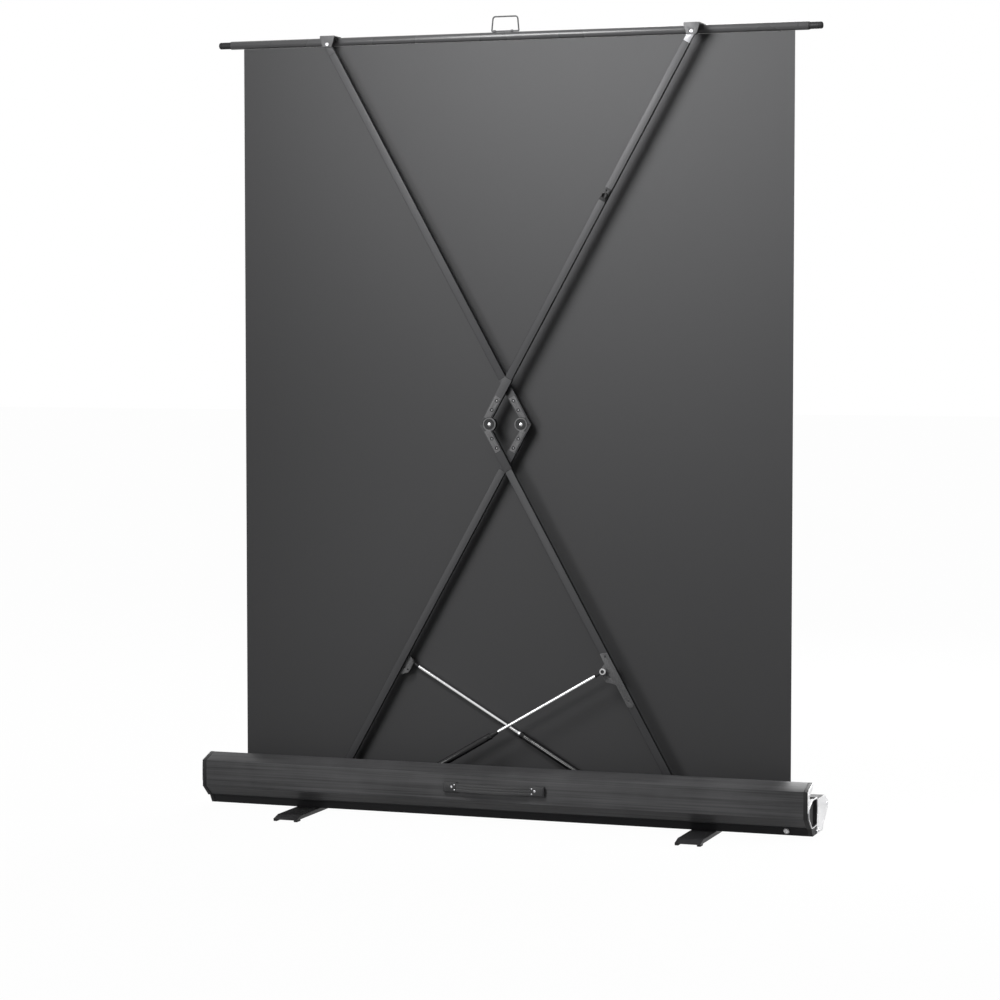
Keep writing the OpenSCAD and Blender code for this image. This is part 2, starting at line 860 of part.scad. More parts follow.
module bar_plugs() {
    color(plastic_black) both_ends() {
        pin_x(bar_y, bar_z, bar_len / 2 - 25, bar_len / 2, bar_d / 2 - 1.25);
        pin_x(bar_y, bar_z, bar_len / 2, bar_len / 2 + plug_len, plug_d / 2);
    }
}

module saddle_cheek(drop) {
    polygon([
        [-saddle_w / 2, saddle_top - top_z], [-saddle_w / 2, saddle_top - top_z - 6],
        [-11, -drop], [11, -drop], [saddle_w / 2, saddle_top - top_z - 6],
        [saddle_w / 2, saddle_top - top_z]]);
}

// Folded saddle over the bar, with two cheeks that hold the arm's eye
module bar_saddle(side) {
    leg_y = side < 0 ? leg_a_y : leg_b_y;
    inner = eye_t / 2 + ear_gap;
    near_y = leg_y - inner - saddle_t;
    color(frame_black) translate([side * base_x, 0, 0]) difference() {
        union() {
            translate([0, 0, top_z]) {
                across_y(near_y, near_y + saddle_t) saddle_cheek(6);
                across_y(leg_y + inner, leg_y + inner + saddle_t) saddle_cheek(6);
            }
            translate([-saddle_w / 2, near_y, saddle_top - saddle_t])
                cube([saddle_w, saddle_front - near_y, saddle_t]);
            translate([-saddle_w / 2, bar_y - bar_d / 2 - 2, bar_z])
                cube([saddle_w, saddle_front - bar_y + bar_d / 2 + 2, saddle_top - bar_z]);
        }
        pin_x(bar_y, bar_z, -saddle_w, saddle_w, bar_d / 2 + 0.05);
        pin_y(0, top_z, near_y - 1, leg_y + inner + saddle_t + 1, arm_pin_r + slip / 2);
    }
}

module saddle_pins() {
    inner = eye_t / 2 + ear_gap + saddle_t;
    color(chrome) for (side = [-1, 1]) {
        leg_y = side < 0 ? leg_a_y : leg_b_y;
        pin_y(side * base_x, top_z, leg_y - inner, leg_y + inner, arm_pin_r);
        translate([side * base_x, leg_y - inner, top_z]) rotate([90, 0, 0])
            cylinder(h = 1.8, r1 = arm_pin_r + 1, r2 = arm_pin_r - 1.2);
        pin_y(side * base_x, top_z, leg_y + inner, leg_y + inner + 0.8, arm_pin_r + 1);
    }
}

// Two lugs on the bar that hold the bail's lower side
module bail_clip() {
    wall = 1.2;
    out_r = wire_d / 2 + wall;
    color(frame_black) for (dx = lug_at) translate([bail_x + dx, 0, 0]) difference() {
        union() {
            pin_x(bar_y, bail_z, -lug_w / 2, lug_w / 2, out_r);
            translate([-lug_w / 2, bar_y - out_r, bar_top - 1]) cube([lug_w, 2 * out_r, bail_z - bar_top + 1]);
        }
        pin_x(bar_y, bail_z, -lug_w, lug_w, wire_d / 2 + slip);
        pin_x(bar_y, bar_z, -lug_w, lug_w, bar_d / 2 + 0.05);
    }
}

module wire(from, to) {
    run = to - from;
    translate([from[0], 0, from[1]]) rotate([0, atan2(run[0], run[1]), 0])
        cylinder(h = norm(run), r = wire_d / 2);
}

// Closed wire ring whose lower side turns in the lugs
module pull_bail() {
    low = bail_w / 2;
    high = bail_w / 2 - 3;
    c = bail_corner;
    side = [[low, 0], [high, bail_h - c], [high - 0.3 * c, bail_h - 0.3 * c], [high - c, bail_h]];
    path = concat(side, [for (i = [3:-1:0]) [-side[i][0], side[i][1]]]);
    color(frame_black) translate([bail_x, bar_y, bail_z])
        for (i = [0:len(path) - 1]) {
            wire(path[i], path[(i + 1) % len(path)]);
            translate([path[i][0], 0, path[i][1]]) sphere(wire_d / 2 + 0.04);
        }
}

// Feet

// Outline of a foot's side, from its sloping noses down to the skid's height
module foot_side(sink) {
    polygon([
        [-foot_half + 2, skid_z], [-foot_half, nose_z - sink], [-foot_half + nose_l, foot_top - sink],
        [foot_half - nose_l, foot_top - sink], [foot_half, nose_z - sink], [foot_half - 2, skid_z]]);
}

module foot(side) {
    color(frame_black) translate([side * foot_x, 0, 0]) difference() {
        along_x(-foot_w / 2, foot_w / 2) foot_side(0);
        along_x(-foot_w / 2 + foot_t, foot_w / 2 - foot_t)
            polygon([
                [-foot_half - 1, 0], [-foot_half - 1, nose_z - nose_drop - nose_slope],
                [-foot_half + nose_l, foot_top - nose_drop], [foot_half - nose_l, foot_top - nose_drop],
                [foot_half + 1, nose_z - nose_drop - nose_slope], [foot_half + 1, 0]]);
        translate([0, 0, foot_top - foot_t - 2]) cylinder(h = foot_t + 4, r = bolt_r + slip);
    }
}

// Four rubber corners, each under a skid and up inside the nose
module foot_pads(side) {
    low = foot_half - 2;
    color(rubber_black) translate([side * foot_x, 0, 0]) for (sx = [-1, 1]) for (sy = [-1, 1])
        scale([sx, sy, 1]) {
            translate([foot_w / 2 - pad_w, low - pad_l, 0]) cube([pad_w, pad_l, skid_z]);
            along_x(foot_w / 2 - pad_w, foot_w / 2 - foot_t)
                polygon([
                    [low - pad_l, skid_z - 1], [low - 8, skid_z - 1],
                    [low - 8, nose_z + (8 + 2) * nose_slope - nose_drop],
                    [low - pad_l, nose_z + (pad_l + 2) * nose_slope - nose_drop]]);
        }
}

base_rail();
rear_casing();
front_casing();
mirror([1, 0, 0]) end_cap();  // end_cap_left
end_cap();  // end_cap_right
mirror([1, 0, 0]) end_plate();  // end_plate_left
end_plate();  // end_plate_right
case_screws();
arm_brackets();
strut_brackets();
base_pins();
roller_bracket(-1);  // roller_bracket_left
roller_bracket(1);  // roller_bracket_right
roller_axle();
roller_spring();
carry_strap();
handle_blocks();
foot_bolts();
screen_fabric();
roller_tube();
roller_plug_left();
roller_plug_right();
fabric_wrap();
as_leg("a") on_arm(false) arm_tube();  // lower_arm_a
as_leg("a") on_arm(false) arm_eye(frame_black);  // base_eye_a
as_leg("a") at_knee(false) lower_knuckle_shape();  // lower_knuckle_a
as_leg("a") on_arm(false) strut_plate_shape();  // strut_plate_a
as_leg("a") at_knee(false) knuckle_screws();  // lower_screws_a
as_leg("a") at_knee(false) knee_pin_shape();  // knee_pin_a
as_leg("a") on_arm(true) arm_tube();  // upper_arm_a
as_leg("a") at_knee(true) upper_knuckle_shape();  // upper_knuckle_a
as_leg("a") on_arm(true) arm_eye(steel);  // top_eye_a
as_leg("a") at_knee(true) knuckle_screws();  // upper_screws_a
as_leg("a") on_arm(true) catch_shape();  // catch_a
as_leg("a") on_strut() strut_cylinder_shape();  // strut_cylinder_a
as_leg("a") on_strut() strut_rod_shape();  // strut_rod_a
as_leg("b") on_arm(false) arm_tube();  // lower_arm_b
as_leg("b") on_arm(false) arm_eye(frame_black);  // base_eye_b
as_leg("b") at_knee(false) lower_knuckle_shape();  // lower_knuckle_b
as_leg("b") on_arm(false) strut_plate_shape();  // strut_plate_b
as_leg("b") at_knee(false) knuckle_screws();  // lower_screws_b
as_leg("b") at_knee(false) knee_pin_shape();  // knee_pin_b
as_leg("b") on_arm(true) arm_tube();  // upper_arm_b
as_leg("b") at_knee(true) upper_knuckle_shape();  // upper_knuckle_b
as_leg("b") on_arm(true) arm_eye(steel);  // top_eye_b
as_leg("b") at_knee(true) knuckle_screws();  // upper_screws_b
as_leg("b") on_arm(true) catch_shape();  // catch_b
as_leg("b") on_strut() strut_cylinder_shape();  // strut_cylinder_b
as_leg("b") on_strut() strut_rod_shape();  // strut_rod_b
top_bar();
bar_plugs();
bar_saddle(-1);  // bar_saddle_left
bar_saddle(1);  // bar_saddle_right
saddle_pins();
bail_clip();
pull_bail();
foot(-1);  // foot_left
foot(1);  // foot_right
foot_pads(-1);  // foot_pads_left
foot_pads(1);  // foot_pads_right
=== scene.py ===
"""Pull-up projection screen: finishes, fine shapes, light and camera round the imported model."""

from __future__ import annotations

import json
import logging
import math
from collections.abc import Sequence
from dataclasses import dataclass, field
from enum import Enum

import bmesh
import bpy
from bpy.types import Material, NodeSocket, Object, ShaderNode
from mathutils import Matrix, Vector

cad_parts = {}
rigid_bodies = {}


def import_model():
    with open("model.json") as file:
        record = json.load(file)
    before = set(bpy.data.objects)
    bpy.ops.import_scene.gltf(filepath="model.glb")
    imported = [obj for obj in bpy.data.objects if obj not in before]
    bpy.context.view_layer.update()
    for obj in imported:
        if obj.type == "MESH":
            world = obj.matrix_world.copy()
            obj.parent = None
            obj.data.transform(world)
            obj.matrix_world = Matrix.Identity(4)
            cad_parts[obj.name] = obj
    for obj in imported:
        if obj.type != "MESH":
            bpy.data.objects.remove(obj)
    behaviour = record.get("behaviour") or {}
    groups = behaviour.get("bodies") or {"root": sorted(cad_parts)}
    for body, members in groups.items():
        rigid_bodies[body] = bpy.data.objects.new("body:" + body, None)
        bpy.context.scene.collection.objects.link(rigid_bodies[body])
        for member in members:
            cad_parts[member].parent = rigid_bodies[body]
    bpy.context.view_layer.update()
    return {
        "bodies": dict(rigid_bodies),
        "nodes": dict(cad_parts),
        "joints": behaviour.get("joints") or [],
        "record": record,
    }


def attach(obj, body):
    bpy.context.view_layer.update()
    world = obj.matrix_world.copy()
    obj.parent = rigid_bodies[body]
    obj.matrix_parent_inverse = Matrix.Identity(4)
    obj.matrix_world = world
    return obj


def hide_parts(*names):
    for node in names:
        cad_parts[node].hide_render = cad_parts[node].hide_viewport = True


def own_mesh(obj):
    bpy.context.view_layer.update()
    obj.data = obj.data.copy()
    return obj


LOG = logging.getLogger("screen")
MM = 0.001
# Share of the fine pattern in a finish's colour, and its slow clouds, in cells to a metre
FINE_SHARE = 0.5
CLOUD_CELLS = 6.0
# Narrow part of a noise's range that the shades and the gloss are spread over
NOISE_LOW, NOISE_HIGH = 0.3, 0.7
# Corners of a CAD mesh nearer than this, in metres, are one, and faces within this angle are flat
WELD = 1e-6
FLAT_DEG = 0.6
Colour = tuple[float, float, float]
Spot = tuple[float, float, float]


class Texture(Enum):
    """Fine surface pattern of a finish."""

    GRAIN = "even speckle"
    BRUSHED = "long streaks"
    WEAVE = "crossed threads"


class Shader:
    """Builds one node material around a Principled shader."""

    def __init__(self, name: str) -> None:
        """Start a material.

        Args:
            name: The material's name.
        """
        self.material = bpy.data.materials.new(name)
        self.material.use_nodes = True
        self.tree = self.material.node_tree
        self.tree.nodes.clear()
        out = self.add("ShaderNodeOutputMaterial")
        self.skin = self.add("ShaderNodeBsdfPrincipled")
        self.tree.links.new(self.skin.outputs["BSDF"], out.inputs["Surface"])
        self.place = self.add("ShaderNodeTexCoord").outputs["Object"]

    def add(self, kind: str, **settings: object) -> ShaderNode:
        """Add a node.

        Args:
            kind: Blender's name for the node type.
            **settings: Attributes to set on the node.

        Returns:
            The new node.
        """
        node = self.tree.nodes.new(kind)
        for key, value in settings.items():
            setattr(node, key, value)
        return node

    def join(self, source: NodeSocket, socket: str) -> None:
        """Link a socket to one of the Principled shader's inputs.

        Args:
            source: Socket that gives the value.
            socket: Name of the shader's input.
        """
        self.tree.links.new(source, self.skin.inputs[socket])

    def mapped(self, stretch: Sequence[float], turn: Sequence[float] = (0, 0, 0)) -> NodeSocket:
        """Return the object coordinates, turned and then stretched.

        Args:
            stretch: Scale along each axis.
            turn: Turn of the pattern, in radians.

        Returns:
            The mapped coordinates.
        """
        turned = self.add("ShaderNodeMapping")
        turned.inputs["Rotation"].default_value = turn
        self.tree.links.new(self.place, turned.inputs["Vector"])
        scaled = self.add("ShaderNodeMapping")
        scaled.inputs["Scale"].default_value = stretch
        self.tree.links.new(turned.outputs["Vector"], scaled.inputs["Vector"])
        return scaled.outputs["Vector"]

    def noise(self, scale: float, detail: float = 3.0, stretch: Sequence[float] = (1, 1, 1),
              turn: Sequence[float] = (0, 0, 0)) -> NodeSocket:
        """Return a noise value over the object.

        Args:
            scale: Cells in a metre.
            detail: Octaves of the noise.
            stretch: Scale along each axis.
            turn: Turn of the pattern, in radians.

        Returns:
            The noise's value.
        """
        node = self.add("ShaderNodeTexNoise")
        node.inputs["Scale"].default_value = scale
        node.inputs["Detail"].default_value = detail
        self.tree.links.new(self.mapped(stretch, turn), node.inputs["Vector"])
        return node.outputs["Fac"]

    def wave(self, axis: str, scale: float) -> NodeSocket:
        """Return a sine wave along one axis, as a thread pattern.

        Args:
            axis: Axis that the bands cross.
            scale: Bands' scale to a metre.

        Returns:
            The wave's value.
        """
        node = self.add("ShaderNodeTexWave", bands_direction=axis)
        node.inputs["Scale"].default_value = scale
        node.inputs["Distortion"].default_value = 0.4
        self.tree.links.new(self.place, node.inputs["Vector"])
        return node.outputs["Fac"]

    def span(self, value: NodeSocket, low: float, high: float) -> NodeSocket:
        """Return the value spread over a range, from the middle of the noise outwards.

        Args:
            value: The noise's value.
            low: Lower end of the range.
            high: Upper end of the range.

        Returns:
            The spread value.
        """
        node = self.add("ShaderNodeMapRange")
        node.inputs["From Min"].default_value = NOISE_LOW
        node.inputs["From Max"].default_value = NOISE_HIGH
        node.inputs["To Min"].default_value = low
        node.inputs["To Max"].default_value = high
        self.tree.links.new(value, node.inputs["Value"])
        return node.outputs["Result"]

    def shades(self, value: NodeSocket, low: Colour, high: Colour) -> NodeSocket:
        """Return a colour between two shades.

        Args:
            value: The noise's value.
            low: Darker shade.
            high: Lighter shade.

        Returns:
            The colour.
        """
        node = self.add("ShaderNodeValToRGB")
        ends = node.color_ramp.elements
        ends[0].position, ends[1].position = NOISE_LOW, NOISE_HIGH
        ends[0].color = (*low, 1)
        ends[1].color = (*high, 1)
        self.tree.links.new(value, node.inputs["Fac"])
        return node.outputs["Color"]

    def times(self, first: NodeSocket, second: NodeSocket) -> NodeSocket:
        """Return the product of two values.

        Args:
            first: First value.
            second: Second value.

        Returns:
            The product.
        """
        node = self.add("ShaderNodeMath", operation="MULTIPLY")
        self.tree.links.new(first, node.inputs[0])
        self.tree.links.new(second, node.inputs[1])
        return node.outputs["Value"]

    def bump(self, height: NodeSocket, strength: float, depth: float) -> None:
        """Feed a height into the shader's normal.

        Args:
            height: The height pattern.
            strength: Share of the bump that is used.
            depth: Depth of the bump in metres.
        """
        node = self.add("ShaderNodeBump")
        node.inputs["Strength"].default_value = strength
        node.inputs["Distance"].default_value = depth
        self.tree.links.new(height, node.inputs["Height"])
        self.join(node.outputs["Normal"], "Normal")


@dataclass(frozen=True)
class Finish:
    """One finish: its colour, gloss and fine texture."""

    name: str
    colour: Colour
    roughness: float
    slot: str
    spread: float = 0.12
    gloss_spread: float = 0.06
    metallic: float = 0.0
    texture: Texture = Texture.GRAIN
    cells: float = 900.0
    depth: float = 0.00004
    strength: float = 0.35
    sheen: float = 0.0
    specular: float = 0.5
    coat: float = 0.0

    def pattern(self, shader: Shader) -> NodeSocket:
        """Return the fine pattern that drives colour, gloss and bump.

        Args:
            shader: Material that receives the nodes.

        Returns:
            The pattern's value.
        """
        if self.texture is Texture.BRUSHED:
            return shader.noise(self.cells, 4.0, (0.012, 1, 1))
        if self.texture is Texture.WEAVE:
            return shader.times(shader.wave("X", self.cells), shader.wave("Z", self.cells))
        return shader.noise(self.cells, 4.0)

    def make(self) -> Material:
        """Build the material, or find it where it is built already.

        Returns:
            The material.
        """
        known = bpy.data.materials.get(self.name)
        if known:
            return known
        shader = Shader(self.name)
        fine = self.pattern(shader)
        clouds = shader.noise(CLOUD_CELLS, 4.0)
        mixed = shader.add("ShaderNodeMath", operation="MULTIPLY_ADD")
        mixed.inputs[1].default_value = FINE_SHARE
        shader.tree.links.new(fine, mixed.inputs[0])
        half = shader.add("ShaderNodeMath", operation="MULTIPLY")
        half.inputs[1].default_value = 1 - FINE_SHARE
        shader.tree.links.new(clouds, half.inputs[0])
        shader.tree.links.new(half.outputs["Value"], mixed.inputs[2])
        both = mixed.outputs["Value"]
        low = tuple(c * (1 - self.spread) for c in self.colour)
        high = tuple(min(1.0, c * (1 + self.spread)) for c in self.colour)
        shader.join(shader.shades(both, low, high), "Base Color")
        shader.join(shader.span(clouds, self.roughness - self.gloss_spread,
                                self.roughness + self.gloss_spread), "Roughness")
        skin = shader.skin.inputs
        skin["Metallic"].default_value = self.metallic
        skin["Specular IOR Level"].default_value = self.specular
        skin["Sheen Weight"].default_value = self.sheen
        skin["Coat Weight"].default_value = self.coat
        shader.bump(fine, self.strength, self.depth)
        return shader.material


CASE = Finish("case_brushed_grey", (0.114, 0.114, 0.117), 0.42, "case_paint", spread=0.5,
              gloss_spread=0.03, texture=Texture.BRUSHED, cells=320, depth=0.0001, specular=0.12)
FRAME = Finish("frame_black", (0.078, 0.078, 0.081), 0.45, "frame_paint", specular=0.2)
RAIL = Finish("rail_black", (0.030, 0.030, 0.032), 0.5, "rail_aluminium", texture=Texture.BRUSHED,
              cells=320, specular=0.1)
BAR = Finish("bar_satin_black", (0.066, 0.066, 0.068), 0.28, "frame_paint", gloss_spread=0.03,
             specular=0.5)
# Painted shade: a near-black copy of the frame paint for the sides and eased edges of the arms, knuckles and
# bar saddles, standing in for the shade on their unlit walls
SHADED_SIDE = Finish("frame_black_painted_shade", (0.014, 0.014, 0.015), 0.5, "frame_paint", specular=0.15)
SADDLE = Finish("saddle_grey", (0.112, 0.112, 0.115), 0.45, "frame_paint", specular=0.25)
LEAF = Finish("leaf_speckled_grey", (0.158, 0.158, 0.161), 0.42, "frame_paint", spread=0.5, cells=500,
              specular=0.2)
DISC = Finish("hub_disc_black", (0.036, 0.036, 0.038), 0.42, "frame_paint", specular=0.2)
FOOT = Finish("foot_gloss_black", (0.050, 0.050, 0.052), 0.28, "rail_aluminium", cells=1200,
              specular=0.5, coat=0.15)
CYLINDER = Finish("cylinder_gloss_black", (0.010, 0.010, 0.011), 0.14, "cylinder_paint", gloss_spread=0.02,
                  specular=0.3, coat=0.25)
PLASTIC = Finish("moulded_black", (0.022, 0.022, 0.023), 0.5, "black_plastic", cells=2200, specular=0.25)
STRAP = Finish("strap_black", (0.090, 0.090, 0.092), 0.5, "black_plastic", cells=1800, specular=0.3)
BLOCK = Finish("block_speckled_grey", (0.062, 0.062, 0.064), 0.45, "black_plastic", spread=0.4, cells=600,
               specular=0.3)
SILVER = Finish("satin_silver", (0.95, 0.95, 0.96), 0.3, "silver_plate", metallic=0.4, spread=0.02,
                gloss_spread=0.03, cells=700, depth=0.00001)
EYE = Finish("eye_satin_steel", (0.27, 0.27, 0.28), 0.45, "bright_steel", metallic=0.4, spread=0.08,
             cells=1600)
STEEL = Finish("zinc_steel", (0.62, 0.62, 0.64), 0.32, "bright_steel", metallic=1.0, spread=0.08,
               cells=1600)
DARK_STEEL = Finish("dark_steel", (0.020, 0.020, 0.021), 0.45, "bright_steel", specular=0.2, cells=1600)
CHROME = Finish("rod_chrome", (0.86, 0.86, 0.87), 0.12, "rod_chrome", metallic=1.0, spread=0.03,
                gloss_spread=0.03, depth=0.00001)
RUBBER = Finish("foot_rubber", (0.018, 0.018, 0.018), 0.75, "rubber_pad", cells=2500, depth=0.00008)
BACK_CLOTH = Finish("black_back_coating", (0.068, 0.068, 0.070), 0.55, "cloth", spread=0.04,
                    gloss_spread=0.01, texture=Texture.WEAVE, cells=700, depth=0.00003, strength=0.15,
                    sheen=0.1, specular=0.2)
WHITE_CLOTH = Finish("matt_white_face", (0.86, 0.86, 0.85), 0.9, "cloth", spread=0.02,
                     texture=Texture.WEAVE, cells=900, depth=0.00003, strength=0.1, sheen=0.1)


@dataclass(frozen=True)
class Raised:
    """Faces that stand out on both sides of a flat part and look outwards, with a finish of their own; the
    part's other faces keep its base finish, which on arms, knuckles and saddles is the painted-shade black.
    """

    finish: Finish
    place: Matrix
    level: float
    # Cosine past which a face counts as looking outwards; sides and eased edges fall short and keep the
    # painted-shade base finish
    facing: float = 0.95

    def holds(self, face: bmesh.types.BMFace) -> bool:
        """Tell whether a face lies outside the level, in millimetres across the part, and looks outwards.

        Args:
            face: A face of the part, in place.

        Returns:
            Whether this finish is the face's.
        """
        local = self.place.inverted()
        outwards = (local.to_3x3() @ face.normal).normalized()
        away = abs((local @ face.calc_center_median()).y)
        return away > self.level * MM and abs(outwards.y) > self.facing


class Workshop:
    """Turns bmesh shapes and CAD nodes into finished pieces."""

    def __init__(self, frame: dict) -> None:
        """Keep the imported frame.
        """
        self.frame = frame
        self.body_of = {node: body for body, nodes in frame["record"]["behaviour"]["bodies"].items()
                        for node in nodes}

    def piece(self, name: str, shape: bmesh.types.BMesh, finishes: Sequence[Finish], body: str,
              replaces: Sequence[str] = (), smooth: float = 35.0) -> Object:
        """Make an object from a shape, dress it and let it ride on its body.

        Args:
            name: The piece's name.
            shape: The shape, in metres and in place; it is freed.
            finishes: Its finishes, by face material index.
            body: The CAD body that it rides on.
            replaces: CAD nodes that it stands for.
            smooth: Angle in degrees up to which faces shade as one.

        Returns:
            The new object.
        """
        mesh = bpy.data.meshes.new(name)
        shape.to_mesh(mesh)
        shape.free()
        for polygon in mesh.polygons:
            polygon.use_smooth = True
        mesh.set_sharp_from_angle(angle=math.radians(smooth))
        for finish in finishes:
            mesh.materials.append(finish.make())
        made = bpy.data.objects.new(name, mesh)
        bpy.context.scene.collection.objects.link(made)
        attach(made, body)
        if replaces:
            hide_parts(*replaces)
        LOG.info("piece %s on %s", name, body)
        return made

    def eased(self, node: str, finish: Finish, edge_mm: float = 0.6, segments: int = 2,
              angle: float = 34.0, raised: Sequence[Raised] = ()) -> Object:
        """Stand a copy of a CAD node, with eased edges, in its place.

        Args:
            node: The CAD node.
            finish: Its finish.
            edge_mm: Width of the eased edges.
            segments: Faces across an eased edge.
            angle: Edges sharper than this are eased, in degrees.
            raised: Faces that take finishes of their own; the last one that holds a face gives its finish.

        Returns:
            The new object.
        """
        shape = bmesh.new()
        shape.from_mesh(self.frame["nodes"][node].data)
        shape.transform(self.frame["nodes"][node].matrix_world)
        bmesh.ops.remove_doubles(shape, verts=shape.verts, dist=WELD)
        bmesh.ops.dissolve_limit(shape, angle_limit=math.radians(FLAT_DEG), verts=shape.verts,
                                 edges=shape.edges)
        sharp = [e for e in shape.edges if len(e.link_faces) == 2
                 and e.calc_face_angle(0.0) > math.radians(angle)]
        if sharp:
            bmesh.ops.bevel(shape, geom=sharp, offset=edge_mm * MM, offset_type="OFFSET", segments=segments,
                            profile=0.5, affect="EDGES", clamp_overlap=True, material=-1)
        shape.normal_update()
        for face in shape.faces:
            face.material_index = max((i for i, part in enumerate(raised, 1) if part.holds(face)), default=0)
        finishes = [finish, *(part.finish for part in raised)]
        return self.piece(f"{node}_eased", shape, finishes, self.body_of[node], [node])

    def paint(self, node: str, finish: Finish) -> None:
        """Give a CAD node that stays a finish of its own.

        Args:
            node: The CAD node.
            finish: Its finish.
        """
        mesh = self.frame["nodes"][node].data
        mesh.materials.clear()
        mesh.materials.append(finish.make())


def lathe(shape: bmesh.types.BMesh, profile: Sequence[tuple[float, float]], place: Matrix,
          steps: int = 40) -> None:
    """Turn a profile round the X axis of a place.

    Args:
        shape: Receives the faces.
        profile: Points of distance along the axis and radius, in millimetres.
        place: Matrix of the turned part, in metres.
        steps: Faces round the axis.
    """
    part = bmesh.new()
    verts = [part.verts.new((x * MM, r * MM, 0)) for x, r in profile]
    edges = [part.edges.new(pair) for pair in zip(verts, verts[1:])]
    bmesh.ops.spin(part, geom=verts + edges, cent=(0, 0, 0), axis=(1, 0, 0), dvec=(0, 0, 0),
                   angle=math.tau, steps=steps, use_merge=True, use_duplicate=False)
    bmesh.ops.remove_doubles(part, verts=part.verts, dist=1e-7)
    bmesh.ops.recalc_face_normals(part, faces=part.faces)
    part.transform(place)
    if place.determinant() < 0:
        bmesh.ops.reverse_faces(part, faces=part.faces)
    join(shape, part)


def join(shape: bmesh.types.BMesh, part: bmesh.types.BMesh) -> None:
    """Add a part's faces to a shape and free the part.

    Args:
        shape: Receives the faces.
        part: Gives the faces, and is freed.
    """
    mesh = bpy.data.meshes.new("part")
    part.to_mesh(mesh)
    part.free()
    shape.from_mesh(mesh)
    bpy.data.meshes.remove(mesh)


def slab(shape: bmesh.types.BMesh, low: Sequence[float], high: Sequence[float], ease: float) -> None:
    """Add a block with rounded edges.

    Args:
        shape: Receives the faces.
        low: Lowest corner in millimetres.
        high: Highest corner in millimetres.
        ease: Radius of the edges in millimetres.
    """
    part = bmesh.new()
    bmesh.ops.create_cube(part, size=1.0)
    size = [(b - a) * MM for a, b in zip(low, high)]
    middle = [(a + b) / 2 * MM for a, b in zip(low, high)]
    bmesh.ops.scale(part, vec=size, verts=part.verts)
    bmesh.ops.translate(part, vec=middle, verts=part.verts)
    bmesh.ops.bevel(part, geom=list(part.edges), offset=ease * MM, offset_type="OFFSET", segments=3,
                    profile=0.5, affect="EDGES", clamp_overlap=True, material=-1)
    join(shape, part)


def along(origin: Sequence[float], axis: Sequence[float]) -> Matrix:
    """Return the place at an origin in millimetres whose X axis points along an axis.

    Args:
        origin: A point in millimetres.
        axis: Direction of the X axis.

    Returns:
        The place.
    """
    turn = Vector((1, 0, 0)).rotation_difference(Vector(axis).normalized()).to_matrix().to_4x4()
    return Matrix.Translation(Vector(origin) * MM) @ turn


@dataclass
class Linkage:
    """The folding frame's plan, the same as the CAD's, in millimetres."""

    base_x: float = 417.0
    base_z: float = 38.0
    arm_len: float = 946.0
    knee_past: float = 34.0
    arm_offset: float = 11.0
    planes: dict[str, float] = field(default_factory=lambda: {"a": -10.0, "b": -22.5})
    strut_x: float = 300.0
    strut_z: float = 30.0
    strut_dy: float = 15.0
    strut_s: float = 357.0
    strut_o: float = 17.5

    @property
    def half_rise(self) -> float:
        """Height of a knee above its base pivot."""
        return math.sqrt(self.arm_len ** 2 - (self.base_x + self.knee_past) ** 2)

    @property
    def knee_z(self) -> float:
        """Height of the knees above the floor."""
        return self.base_z + self.half_rise

    @property
    def top_z(self) -> float:
        """Height of the pivots under the bar."""
        return self.base_z + 2 * self.half_rise

    @property
    def arm_angle(self) -> float:
        """Angle of a lower arm's own axis, in radians."""
        tilt = math.asin(self.arm_offset / self.arm_len)
        return math.pi - math.atan2(self.half_rise, self.base_x + self.knee_past) + tilt

    @property
    def axis_len(self) -> float:
        """Distance from base pivot to knee along the arm's axis."""
        return math.sqrt(self.arm_len ** 2 - self.arm_offset ** 2)

    def leg(self, leg: str) -> Matrix:
        """Return the place of a whole leg.

        Args:
            leg: The leg, "a" or "b".

        Returns:
            The place that the whole leg is drawn in.
        """
        place = Matrix.Translation((0, self.planes[leg] * MM, 0))
        return place @ Matrix.Rotation(math.pi, 4, "Z") if leg == "a" else place

    def arm(self, leg: str, upper: bool) -> Matrix:
        """Return an arm's own place: X runs from its end pivot to the knee, Z points outwards.

        Args:
            leg: The leg, "a" or "b".
            upper: True for the upper arm.

        Returns:
            The place, mirrored for an upper arm.
        """
        lower = (Matrix.Translation((self.base_x * MM, 0, self.base_z * MM))
                 @ Matrix.Rotation(-self.arm_angle, 4, "Y"))
        if upper:
            flip = Matrix.Translation((0, 0, 2 * self.knee_z * MM)) @ Matrix.Scale(-1, 4, (0, 0, 1))
            lower = flip @ lower
        return self.leg(leg) @ lower

    def knee(self, leg: str, upper: bool) -> Matrix:
        """Return the place of a knee pin, turned as its arm is.

        Args:
            leg: The leg, "a" or "b".
            upper: True for the upper arm's side.

        Returns:
            The place.
        """
        return self.arm(leg, upper) @ Matrix.Translation((self.axis_len * MM, 0, -self.arm_offset * MM))

    def strut(self, leg: str) -> tuple[Matrix, float]:
        """Return a strut's place, X from its base pivot to the pin on the arm, and its length.

        Args:
            leg: The leg, "a" or "b".

        Returns:
            The place, and the length in millimetres.
        """
        turn = self.arm_angle
        pin = Vector((self.base_x + self.strut_s * math.cos(turn) - self.strut_o * math.sin(turn), 0,
                      self.base_z + self.strut_s * math.sin(turn) + self.strut_o * math.cos(turn)))
        run = pin - Vector((-self.strut_x, 0, self.strut_z))
        foot = Vector((-self.strut_x, -self.strut_dy, self.strut_z)) * MM
        place = (self.leg(leg) @ Matrix.Translation(foot)
                 @ Matrix.Rotation(-math.atan2(run.z, run.x), 4, "Y"))
        return place, run.length


